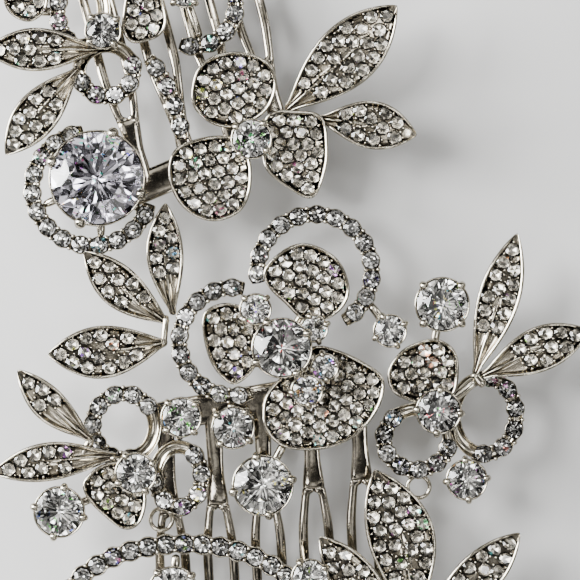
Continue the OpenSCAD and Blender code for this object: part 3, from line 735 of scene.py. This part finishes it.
RING_CREST_A = Ring(-26.3, 35, 2.9, 4.3, 0, 360)
RING_CREST_B = Ring(-23.1, 27.5, 3.4, 3.2, 0, 360)
ROW_CREST_A = Row(RING_CREST_A, 56, 258)
ROW_CREST_B = Row(RING_CREST_B, 185, 395)
S_CREST = Setting(-23.3, 32.3, 4.1, 11.4, 40)
casting(
    "top_left_cluster",
    leaves=[Leaf(-24, 30.1, -38.1, 30, 5.6, 9.4, 9.6, 0),
            Leaf(-26.5, 27.8, -35.6, 16.9, 5.6, 9.3, 9.6, -0.2)],
    petals=[
        ([(-35.9, 38), (-34.8, 39.8), (-32.8, 40.5), (-31.2, 39.8), (-30.3, 38), (-30.3, 35.8),
          (-31.2, 34.3), (-32.8, 33.5), (-34.8, 34.3), (-35.8, 35.8)], (-30.4, 35.2), 8.6, 9.8, 0.5),
        ([(-21, 32.5), (-20.9, 34.8), (-20.4, 37), (-18.8, 38.5), (-17.1, 38.5), (-16, 36.8),
          (-15.4, 34.5), (-15.5, 32.8), (-16.6, 31.5), (-18.8, 30.8), (-20.1, 31)],
         (-20.4, 31.4), 9.8, 10.4, 0.4)],
    bands=[ROW_CREST_A, ROW_CREST_B], heads=[S_CREST],
    bars=[foot_bar(S_CREST, (-24.6, 30.1), BACK_Z, 2),
          foot_bar(S_CREST, (-19.4, 33), BACK_Z, 2.2),
          foot_bar(S_CREST, (-24.4, 33.8)), foot_bar(S_CREST, (-23.1, 30)),
          ((-27.2, 27.8), (-25.9, 29.2), BACK_Z, 2), ((-29.9, 35), (-31.6, 35))])


# The top flower: three cupped petals and two long leaves round one claw setting, cast in zinc alloy,
# plated, and soldered at the setting's foot. Each bed is drilled and set with fine stones.
S_TOP = Setting(-4.8, 18.8, 4.6, 12, 52)
casting(
    "top_flower",
    leaves=[Leaf(-0.6, 22.5, 13.4, 35.6, 8, 8.4, 9.8, -0.3),
            Leaf(3.5, 21.5, 15.9, 19.4, 6.2, 8.6, 9.6, 0.3)],
    petals=[
        ([(-11.4, 28), (-9.3, 29.4), (-6.3, 29.8), (-2.8, 28.6), (-1.6, 25.8), (-2.8, 22.5),
          (-6.3, 20.4), (-9.6, 20.6), (-12.1, 22.8), (-12.3, 25.5)], (-5.4, 20.8), 9, 10.2, 0.5),
        ([(-14.5, 17.6), (-11.9, 18.9), (-8.5, 19.4), (-5.9, 18.6), (-4.8, 15.6), (-5, 11.9),
          (-6.5, 9.5), (-9.6, 8.5), (-12.5, 9.5), (-14.5, 11.8), (-15.3, 14.8)],
         (-5.6, 18), 8.8, 10, 0.5),
        ([(-2.8, 22.1), (0.6, 22.5), (4, 21.8), (4.8, 18.1), (4.5, 14.8), (2.9, 11.4), (0, 12.5),
          (-3.1, 15.1), (-3.5, 18.8)], (-3.2, 19.4), 9, 10, 0.4)],
    heads=[S_TOP],
    bars=[foot_bar(S_TOP, (-6.2, 22), 7.6, 1.3), foot_bar(S_TOP, (-8, 16.6), 7.6, 1.3),
          foot_bar(S_TOP, (-1, 18.6), 7.6, 1.3), ((-2.2, 18.8), (4, 21.4), 7.6, 1),
          ((-2.2, 18.8), (-0.3, 22.8), 7.6, 1.1)])


# The upper link band: a curved stone-set band above the top flower, with a small round setting inside
# its curve. Cast and plated, the setting soldered on by a bar.
BAND_UPPER = Ring(-12.1, 35.9, 5.3, 5.3, -110, 30)
ROW_UPPER_BAND = Row(BAND_UPPER, -108, 28)
S_BEZEL = Setting(-13.2, 37.2, 3.4, 10.4, 45)
casting("upper_link_band", bands=[ROW_UPPER_BAND], heads=[S_BEZEL],
        bars=[foot_bar(S_BEZEL, (-11.3, 31.5))])


# The side link band: a short curved band between the top left cluster and the top flower, set with
# one row of stones. Cast and plated like the rest.
BAND_SIDE = Ring(-32, 17.3, 18.5, 18.5, 5, 40)
ROW_SIDE_BAND = Row(BAND_SIDE, 6, 39)
casting("side_link_band", bands=[ROW_SIDE_BAND])


# The open ring and four-claw setting of the largest stone, cast and plated. Four spokes are soldered
# between the setting's foot and the ring.
RING_LARGE = Ring(-24.9, 12.75, 7.5, 7.2, 98, 345)
ROW_LARGE = Row(RING_LARGE, 101, 342)
S_LARGE = Setting(-24, 13.9, 11.6, 12.4, 70)
spokes = [ring_point(RING_LARGE, math.radians(a), -0.8) for a in (120, 200, 280, 335)]
casting("large_stone_ring", bands=[ROW_LARGE], heads=[S_LARGE],
        bars=[foot_bar(S_LARGE, p) for p in spokes])


# The left leaf spray: three plated leaves that fan out to the left of the centre, their stalks joined
# by a soldered bar.
casting(
    "left_leaf_spray",
    leaves=[Leaf(-14.6, -3.2, -15.6, 10.9, 4.8, 8.8, 9.8, 0.5),
            Leaf(-15.2, -4.2, -25.8, 4.8, 5.4, 8.3, 9.4, 0.5),
            Leaf(-15.3, -6.5, -30.3, -8.1, 6.8, 8.5, 9.6, 0.4)],
    bars=[((-15.5, -3), (-15.9, -7.2), 7.9, 1, 0.9)])


# The large flower in the middle, plated: three cupped petals soldered to the foot of a high setting,
# with four small settings and a drop setting round it that stand on the petals or are soldered to them.
S_CENTRE = Setting(-1, -7.2, 7.1, 13, 30, 8.2)
S_ACCENT = [Setting(-4.3, -2.4, 3.5, 11.2, 45, 7.6), Setting(3, -4.8, 3, 11.2, 20, 9),
            Setting(4.3, -9.6, 3, 11.4, 10, 9), Setting(2.1, -12.5, 3.5, 11.4, 8, 9)]
S_DROP = Setting(-3.4, -24.4, 7.2, 11, 12)
casting(
    "centre_flower",
    petals=[
        ([(-3.3, 2.6), (-0.5, 5.3), (2.6, 5.8), (6.1, 3.8), (7.5, 0.4), (6.9, -1.9), (4.9, -3.6),
          (1.9, -4), (-0.8, -1.6), (-2.8, 0.4)], (1, -3.4), 9.2, 10.2, 0.6),
        ([(-10.8, -2.8), (-8.5, -1.6), (-6, -2), (-4.3, -4), (-3.5, -6.9), (-4.5, -10), (-6.8, -11.9),
          (-8.5, -11), (-10, -9), (-10.9, -5.8)], (-4.2, -6.4), 9, 9.8, 0.6),
        ([(-0.6, -10.3), (2.6, -7), (6.1, -7.5), (9.3, -9), (11.8, -11), (11.3, -14.4), (9.3, -17.3),
          (7, -19), (3.8, -20), (-0.5, -19.8), (-3, -17.8), (-3.5, -15.3), (-2.9, -12.8)],
         (0.6, -9.4), 9.2, 10.4, 0.6)],
    heads=[S_CENTRE, *S_ACCENT, S_DROP],
    bars=[foot_bar(S_CENTRE, (2.4, -1.6), 8.2, 1), foot_bar(S_CENTRE, (-5.6, -6.6), 8.2),
          foot_bar(S_CENTRE, (2.6, -12.4), 8.2, 1),
          foot_bar(S_ACCENT[0], (-4.4, -5.6), 7.6),
          foot_bar(S_DROP, (-0.6, -19)), ((-1, -19.4), (0.2, -17.6), BACK_Z, 2.2)])


# The open stone-set ring above the upper petal of the centre flower, plated, with a small claw
# setting soldered near its lower end.
RING_UPPER = Ring(3.1, 2.3, 7.2, 7.2, -60, 192)
ROW_UPPER = Row(RING_UPPER, -55, 192)
S_RIGHT_LINK = Setting(12.5, -5.1, 3.7, 10.2, 26)
end = ring_point(RING_UPPER, math.radians(-30), 0.8)
casting("upper_ring", bands=[ROW_UPPER], heads=[S_RIGHT_LINK], bars=[foot_bar(S_RIGHT_LINK, end)])


# The open stone-set ring round the left petal of the centre flower, plated, with a claw setting
# soldered to its lower end by a bar.
RING_LEFT = Ring(-7.1, -6.5, 6.8, 6.8, 78, 290)
ROW_LEFT = Row(RING_LEFT, 81, 286)
S_LEFT_DROP = Setting(-7.1, -17.2, 4.9, 10.6, 52)
end = ring_point(RING_LEFT, math.radians(268), 0.8)
casting("left_ring", bands=[ROW_LEFT], heads=[S_LEFT_DROP], bars=[foot_bar(S_LEFT_DROP, end)])


# The right flower: one round petal and two long leaves soldered to the foot of a claw setting, with
# a second setting soldered to the petal's upper edge. Plated.
S_RIGHT_TOP = Setting(19, -1.8, 6.4, 11, 45)
S_RIGHT_FLOWER = Setting(18.5, -15.1, 5.2, 12, -5, 8.9)
casting(
    "right_flower",
    leaves=[Leaf(23.1, -10.6, 28.4, 7.1, 5.4, 9.6, 10.4, -0.1),
            Leaf(24, -10.8, 37.5, -5, 5.8, 9.4, 9.8, 0.3)],
    petals=[([(12.1, -11), (12.5, -9.3), (13.9, -7.5), (15.8, -6.5), (18, -6), (20, -6.8), (21, -8.4),
              (21.1, -11), (20.5, -13.3), (18.4, -14.6), (14.9, -13.9), (12.9, -12.9)],
             (18.6, -13.6), 9.6, 10.4, 0.5)],
    heads=[S_RIGHT_TOP, S_RIGHT_FLOWER],
    bars=[foot_bar(S_RIGHT_TOP, (18, -7.4)), ((18.1, -6.8), (17.8, -8.4), BACK_Z, 2.4),
          foot_bar(S_RIGHT_FLOWER, (17, -11), 8.9, 0.8),
          foot_bar(S_RIGHT_FLOWER, (23.6, -11.2), 8.9, 0.6),
          ((22.8, -10.3), (24.4, -12.1), 8.9, 1)])


# Two stone-set rings side by side under the right flower, plated, with a claw setting soldered below
# the right one.
RING_RIGHT_A = Ring(24.5, -15.8, 3.9, 4.8, 0, 360)
RING_RIGHT_B = Ring(15.9, -18.8, 4.1, 3.8, 0, 360)
ROW_RIGHT_A = Row(RING_RIGHT_A, -112, 100)
ROW_RIGHT_B = Row(RING_RIGHT_B, 118, 362)
S_RIGHT_LOWER = Setting(22.1, -23.7, 4.7, 10.4, 5)
end = ring_point(RING_RIGHT_A, math.radians(255), 0.8)
casting("right_rings", bands=[ROW_RIGHT_A, ROW_RIGHT_B], heads=[S_RIGHT_LOWER],
        bars=[foot_bar(S_RIGHT_LOWER, end)])


# The lower left flower: one petal and two leaves soldered together round the foot of a claw setting,
# with a second setting soldered to the petal's left edge. Plated.
S_LEFT_FLOWER = Setting(-19.2, -22.8, 4.7, 12, 30, 8.9)
S_LEFT_CORNER = Setting(-28.8, -27.7, 6, 10.8, -12)
casting(
    "lower_left_flower",
    leaves=[Leaf(-24.8, -18.8, -34.1, -10, 4.4, 9.4, 9.6, 0.4),
            Leaf(-21.5, -20.8, -37.3, -22.9, 5, 9.4, 9.2, -0.5)],
    petals=[([(-25.9, -24), (-24, -22), (-21.5, -21.4), (-19, -21.9), (-18, -24.4), (-18, -27.3),
              (-19, -29.5), (-21, -29.9), (-24, -27.6), (-25.5, -25.8)],
             (-19.4, -23), 9.8, 10.2, 0.5)],
    heads=[S_LEFT_FLOWER, S_LEFT_CORNER],
    bars=[foot_bar(S_LEFT_FLOWER, (-22.4, -25.4), 8.95, 0.8),
          foot_bar(S_LEFT_FLOWER, (-22.6, -20.8), 8.9, 0.65),
          ((-24.8, -18.4), (-26.6, -22.2), 8.85, 0.75), foot_bar(S_LEFT_CORNER, (-24.6, -26.1)),
          ((-25.3, -26.3), (-23.7, -25.8), BACK_Z, 2.5)])


# Two stone-set rings at the lower left, plated, each soldered by a bar to the foot of one claw
# setting.
RING_LOW_A = Ring(-20.9, -17.1, 3.9, 4.1, 0, 360)
RING_LOW_B = Ring(-14, -23.5, 2.9, 3.8, 0, 360)
ROW_LOW_A = Row(RING_LOW_A, 20, 300)
ROW_LOW_B = Row(RING_LOW_B, 170, 430)
S_LEFT_LINK = Setting(-13.6, -15.9, 4.6, 10.4, 42)
ends = [ring_point(RING_LOW_A, math.radians(15), 0.8), ring_point(RING_LOW_B, math.radians(90), 0.8)]
casting("lower_left_rings", bands=[ROW_LOW_A, ROW_LOW_B], heads=[S_LEFT_LINK],
        bars=[foot_bar(S_LEFT_LINK, p) for p in ends])


# The broad oval ring at the bottom, plated, with one claw setting soldered inside it and one at its
# right shoulder.
WIDE_W, WIDE_D = 2.8, 2.05
RING_BOTTOM = Ring(-13.3, -40.9, 15.3, 9, 0, 360)
ROW_BOTTOM = Row(RING_BOTTOM, 0, 360, WIDE_W, WIDE_D)
S_RING_TOP = Setting(-14.6, -37.6, 5.8, 10.6, 40)
S_BOTTOM_LINK = Setting(2.5, -35.9, 4.2, 10.6, 34)
ends = [ring_point(RING_BOTTOM, math.radians(94), -1.2), ring_point(RING_BOTTOM, math.radians(30), 1.2)]
casting("bottom_ring", bands=[ROW_BOTTOM], heads=[S_RING_TOP, S_BOTTOM_LINK],
        bars=[foot_bar(S_RING_TOP, ends[0]), foot_bar(S_BOTTOM_LINK, ends[1])])


# The bottom leaf spray: three plated leaves on one foot at the lower right. A plain bar runs from the
# foot towards the bottom ring.
casting(
    "bottom_leaf_spray",
    leaves=[Leaf(13.8, -42, 3.7, -30.9, 5.6, 8.3, 9, 0.3),
            Leaf(15.4, -41.6, 10.6, -22.4, 8.6, 8.6, 9.8, -1.2),
            Leaf(16.9, -41.3, 28.8, -30.4, 5.6, 8.3, 9.4, -0.4)],
    bars=[((13.2, -42), (17.6, -42), 7.4, 1.4, 2.4), ((13.6, -42), (3.4, -41.2), 7.4, 0.9)])


# The two combs behind the castings: a flat spine and forked teeth, pressed and bent from one strip
# and plated. The edges are rounded over.
# Painted shade: the comb's plating is darker than the castings' and its long occlusion reach darkens it
# where the castings lie over it, as the shade it lies in.
COMB_METAL = plated("comb_plating", (0.46, 0.42, 0.345), (0.2, 0.18, 0.145), (0.03, 0.022, 0.015), 0.08,
                    shade_reach=0.0018, wave=0.0004, swell=110)
TOOTH_L, TOOTH_PITCH, STEM_W, LEG_W, FORK_W = 38, 6.1, 2.3, 1.25, 4.5
COMB_T, SPINE_W, SPINE_Z, BOW = 1.1, 4, 6.3, 1.6
STEM_RUN, STEM_IN, STEM_WAIST = 3, 1, 0.85
FORK_RUN, FORK_SWELL, SLOT_R = 4.5, 0.45, 0.6
STRIP_SIDES, EDGE_ROUND, FACE_ROUND, TIP_THICK = 12, 0.3, 0.35, 0.3
STEM_STEPS, LEG_STEPS, SPINE_STEPS = 10, 14, 16


def comb_z(y):
    """Height of the comb's middle surface over its bowed length."""
    chord = math.hypot(TOOTH_L, SPINE_Z - COMB_T / 2)
    radius = (chord * chord / 4 + BOW * BOW) / (2 * BOW)
    centre = TOOTH_L / 2 - (radius - BOW) * (SPINE_Z - COMB_T / 2) / chord
    low = radius - COMB_T / 2
    return math.sqrt(radius ** 2 - (y - centre) ** 2) - math.sqrt(low ** 2 - (TOOTH_L - centre) ** 2)


def strip(bm, where, edges, stations):
    """A flat strip with rounded edges between two edge lines, along the given lengths."""

    def place(u, v):
        y = stations[round(u * (len(stations) - 1))]
        low, high, thick = edges(y)
        c, s = math.cos(math.tau * v), math.sin(math.tau * v)
        x = (low + high) / 2 + math.copysign(abs(c) ** EDGE_ROUND, c) * (high - low) / 2
        up = math.copysign(abs(s) ** FACE_ROUND, s) * COMB_T / 2 * thick
        return where(x, y, up)

    shell(bm, len(stations) - 1, STRIP_SIDES, place)


def tooth(metal, where, middle, root, fork):
    """A stem from the spine to the fork, and two legs with rounded tips beyond it."""
    spread = fork + FORK_RUN
    plan = [  # length, half width
        (root, STEM_W / 2), (root + STEM_RUN, STEM_W / 2), (fork - FORK_RUN, STEM_WAIST * STEM_W / 2),
        (fork, between(STEM_WAIST * STEM_W / 2, FORK_W / 2, FORK_SWELL)), (spread, FORK_W / 2),
        (TOOTH_L, FORK_W / 2),
    ]

    def half(y):
        for (y0, h0), (y1, h1) in zip(plan, plan[1:]):
            if y <= y1:
                return between(h0, h1, max(0, (y - y0) / (y1 - y0)))
        return plan[-1][1]

    def slot(y):
        if y <= fork:
            return 0
        if y <= fork + SLOT_R:
            return math.sqrt(SLOT_R ** 2 - (fork + SLOT_R - y) ** 2)
        opened = min(1, (y - fork - SLOT_R) / (spread - fork - SLOT_R))
        return between(SLOT_R, FORK_W / 2 - LEG_W, opened)

    stem = [root - STEM_IN + k * (fork - root + STEM_IN) / STEM_STEPS for k in range(STEM_STEPS + 1)]
    strip(metal, where, lambda y: (middle - half(y), middle + half(y), 1), stem)
    leg = [fork + y for y in (-0.7, -0.3, 0, 0.1, 0.25, SLOT_R)]
    run = TOOTH_L - fork - 2 * SLOT_R
    leg += [fork + SLOT_R + k * run / LEG_STEPS for k in range(1, LEG_STEPS + 1)]
    leg += [TOOTH_L + y for y in (-0.35, -0.12, 0)]
    for side in (-1, 1):

        def edges(y):
            inner, outer = slot(y), half(y)
            blunt = max(0, y - (TOOTH_L - LEG_W / 2)) / (LEG_W / 2)
            narrow = math.sqrt(max(0, 1 - blunt * blunt))
            centre, reach = middle + side * (inner + outer) / 2, (outer - inner) / 2 * narrow
            return centre - reach, centre + reach, max(narrow, TIP_THICK)

        strip(metal, where, edges, leg)


def comb(name, node, at, turn, teeth, slant, fork, spine):
    """A row of forked teeth that starts on a line at the given slant, and a spine along it."""
    metal = bmesh.new()
    c, s = math.cos(math.radians(turn)), math.sin(math.radians(turn))
    rise = math.tan(math.radians(slant))

    def where(x, y, up):
        return Vector((at[0] + x * c - y * s, at[1] + x * s + y * c, comb_z(y) + up))

    for i in range(teeth):
        middle = (i - (teeth - 1) / 2) * TOOTH_PITCH
        tooth(metal, where, middle, middle * rise, fork + middle * rise)
    across = [between(spine[0], spine[1], k / SPINE_STEPS) for k in range(SPINE_STEPS + 1)]
    strip(metal, lambda x, y, up: where(y, x + y * rise, up), lambda y: (-SPINE_W / 2, SPINE_W / 2, 1),
          across)
    piece(name, metal, [COMB_METAL], [node], 1)


comb("lower_comb_teeth", "lower_comb", at=(-3.7, -13.8), turn=183, teeth=5, slant=7, fork=12.8,
     spine=(-14, 14))
comb("upper_comb_teeth", "upper_comb", at=(-9.7, 16.7), turn=15, teeth=4, slant=8, fork=9,
     spine=(-11.6, 12.4))


# The two jump rings: small closed rings of round wire, bent and plated, that hang behind the
# castings.
WIRE, JUMP_R, JUMP_Z = 0.6, 1.4, 6.84
WIRE_SIDES, JUMP_STEPS = 10, 24
UPRIGHT = Matrix.Translation((JUMP_R, 0, 0)) @ Matrix.Rotation(math.pi / 2, 4, "X")
for name, x, y in (("left_jump_ring", -16.2, -28.9), ("right_jump_ring", 16.2, -24.8)):
    wire = bmesh.new()
    bmesh.ops.create_circle(wire, segments=WIRE_SIDES, radius=WIRE / 2, matrix=UPRIGHT)
    bmesh.ops.spin(wire, geom=wire.verts[:] + wire.edges[:], cent=(0, 0, 0), axis=(0, 0, 1),
                   angle=math.tau, steps=JUMP_STEPS, use_merge=True)
    bmesh.ops.recalc_face_normals(wire, faces=wire.faces)
    for face in wire.faces:
        face.smooth = True
    bmesh.ops.translate(wire, vec=(x, y, JUMP_Z), verts=wire.verts)
    piece(name + "_wire", wire, [SILVER], [name], 1)


# The claw-set stones: round brilliants of clear glass with a foiled back, each pressed under four
# claws. The largest is a faintly violet crystal.
CLEAR = glass("clear_glass", (0.96, 0.97, 0.98), 1.56)
# These foils carry painted sparkle: a painted shade for each facet, a painted dark rim and a few
# painted coloured glints.
BRIGHT_FOIL = foil("bright_back", (1, 0.99, 0.97), least=0.3, painted_fire=0.02)
VIOLET = glass("violet_crystal", (0.9, 0.89, 0.97), 1.75)
VIOLET_FOIL = foil("violet_back", (0.99, 0.98, 1), least=0.7, painted_fire=0.03)
LARGE_CUT = cut_stone(16, crown=0.15, table=0.56, depth=0.43, stars=True)
OFF_CLAWS = 11
STONES = {
    "large_stone": S_LARGE, "top_stone": S_TOP, "centre_stone": S_CENTRE,
    "centre_accent_1": S_ACCENT[0], "centre_accent_2": S_ACCENT[1], "centre_accent_3": S_ACCENT[2],
    "centre_accent_4": S_ACCENT[3], "left_drop_stone": S_LEFT_DROP, "lower_drop_stone": S_DROP,
    "right_link_stone": S_RIGHT_LINK, "right_top_stone": S_RIGHT_TOP,
    "right_flower_stone": S_RIGHT_FLOWER, "right_lower_stone": S_RIGHT_LOWER,
    "left_link_stone": S_LEFT_LINK, "left_flower_stone": S_LEFT_FLOWER,
    "left_corner_stone": S_LEFT_CORNER, "crest_stone": S_CREST, "ring_top_stone": S_RING_TOP,
    "bottom_link_stone": S_BOTTOM_LINK, "upper_bezel_stone": S_BEZEL,
}
for name, setting in STONES.items():
    gem = bmesh.new()
    seat = Vector((setting.x, setting.y, setting.girdle_z))
    stone(gem, LARGE_CUT, seat, setting.stone_d, turn=math.radians(setting.turn + OFF_CLAWS))
    large = name == "large_stone"
    piece(name + "_cut", gem, [VIOLET, VIOLET_FOIL] if large else [CLEAR, BRIGHT_FOIL],
          [name])


# The rows of small stones: round, foiled and set in the grooves of the bands, held by the grains of
# metal between them.
# The row stones' foil, with the same painted sparkle: facet shades, a dark rim and coloured glints.
FOIL = foil("foil_back", (1, 0.99, 0.97), least=0.3, painted_fire=0.015, smooth=0.0, rough=0.12)
CHIP_CUT = cut_stone(16, crown=0.14, table=0.54, depth=0.24, ring=(0.46, -0.06))
CHIP_LIFT, CHIP_TILT, CHIP_FULL = 0.12, 0.05, 1.05


def chip_row(stones, row):
    """Sets a row's stones in its groove, each a little askew."""
    for angle in row_spots(row):
        p = ring_point(row.ring, angle)
        lean = Vector((random.gauss(0, CHIP_TILT), random.gauss(0, CHIP_TILT), 1)).normalized()
        seat = Vector((p.x, p.y, BACK_Z + BAND_H + CHIP_LIFT))
        stone(stones, CHIP_CUT, seat, row.stone_d * CHIP_FULL, lean, angle)


ROWS = {
    "large_ring_chips": [ROW_LARGE], "upper_ring_chips": [ROW_UPPER], "left_ring_chips": [ROW_LEFT],
    "right_ring_chips": [ROW_RIGHT_A, ROW_RIGHT_B], "lower_left_ring_chips": [ROW_LOW_A, ROW_LOW_B],
    "bottom_ring_chips": [ROW_BOTTOM], "crest_ring_chips": [ROW_CREST_A, ROW_CREST_B],
    "upper_band_chips": [ROW_UPPER_BAND], "side_band_chips": [ROW_SIDE_BAND],
}
for name, rows in ROWS.items():
    gems = bmesh.new()
    for row in rows:
        chip_row(gems, row)
    piece(name + "_cut", gems, [CLEAR, FOIL], [name])


# The pale surface that the comb lies on, a soft room that reflects in the metal, and a camera
# straight above, as in the photograph.
FLOOR_SIZE = 4
PICTURE_W, PICTURE_Z = 72.5, 10
LENS, SENSOR = 200, 36
mat, nodes, links = new_material("pale_surface")
bsdf = nodes["Principled BSDF"]
bsdf.inputs["Roughness"].default_value = 0.45
cloud = link_noise(nodes, links, scale=8, detail=2)
tone = ramp(nodes, links, cloud, [(0.3, (0.51, 0.51, 0.505)), (0.7, (0.53, 0.53, 0.525))])
links.new(tone, bsdf.inputs["Base Color"])
ground = bmesh.new()
bmesh.ops.create_grid(ground, x_segments=2, y_segments=2, size=FLOOR_SIZE)
mesh = bpy.data.meshes.new("surface")
ground.to_mesh(mesh)
ground.free()
mesh.materials.append(mat)
floor = bpy.data.objects.new("surface", mesh)
bpy.context.scene.collection.objects.link(floor)

world = bpy.data.worlds.new("room")
world.use_nodes = True
nodes, links = world.node_tree.nodes, world.node_tree.links
coord = nodes.new("ShaderNodeTexCoord")
noise = nodes.new("ShaderNodeTexNoise")
noise.inputs["Scale"].default_value = 4.5
links.new(coord.outputs["Generated"], noise.inputs["Vector"])
height = nodes.new("ShaderNodeSeparateXYZ")
links.new(coord.outputs["Generated"], height.inputs["Vector"])
overhead = nodes.new("ShaderNodeMapRange")
for socket, value in (("From Min", 0.4), ("From Max", 0.95), ("To Min", 0), ("To Max", 0.045)):
    overhead.inputs[socket].default_value = value
links.new(height.outputs["Z"], overhead.inputs["Value"])
total = nodes.new("ShaderNodeMath")
links.new(noise.outputs["Fac"], total.inputs[0])
links.new(overhead.outputs["Result"], total.inputs[1])
patches = ramp(nodes, links, total.outputs["Value"], [
    (0.45, (0.004, 0.004, 0.004)), (0.54, (0.03, 0.03, 0.03)), (0.58, (0.15, 0.15, 0.15)),
    (0.64, (1, 1, 1))])
lit = nodes.new("ShaderNodeMath")
lit.operation = "MULTIPLY"
lit.inputs[1].default_value = 1.8
links.new(patches, lit.inputs[0])
links.new(lit.outputs["Value"], nodes["Background"].inputs["Strength"])
nodes["Background"].inputs["Color"].default_value = (1, 0.985, 0.955, 1)
bpy.context.scene.world = world

LAMPS = [  # name, place, size, power
    ("key", (-0.27, 0.1, 0.4), 0.16, 3.2), ("low", (-0.48, 0.1, 0.24), 0.28, 11.5),
    ("glint_a", (0.1, 0.12, 0.4), 0.05, 0.12), ("glint_b", (-0.08, -0.14, 0.42), 0.05, 0.12),
    ("glint_c", (0.15, -0.06, 0.4), 0.05, 0.12), ("glint_d", (-0.04, 0.2, 0.38), 0.05, 0.12),
    ("glint_e", (0.02, 0.05, 0.45), 0.04, 0.08), ("glint_f", (0.3, 0.2, 0.3), 0.06, 0.15),
    ("glint_g", (0.1, -0.35, 0.3), 0.06, 0.15), ("glint_h", (-0.2, -0.3, 0.35), 0.06, 0.15),
]
for name, place, size, power in LAMPS:
    lamp = bpy.data.lights.new(name, "AREA")
    lamp.size = size
    lamp.energy = power
    light = bpy.data.objects.new(name, lamp)
    light.location = place
    light.rotation_euler = (-Vector(place)).to_track_quat("-Z", "Y").to_euler()
    bpy.context.scene.collection.objects.link(light)

camera = bpy.data.objects.new("camera", bpy.data.cameras.new("camera"))
camera.data.lens = LENS
camera.data.sensor_width = SENSOR
camera.location = (MIDDLE_X * MM, MIDDLE_Y * MM, (LENS * PICTURE_W / SENSOR + PICTURE_Z) * MM)
bpy.context.scene.collection.objects.link(camera)
bpy.context.scene.camera = camera
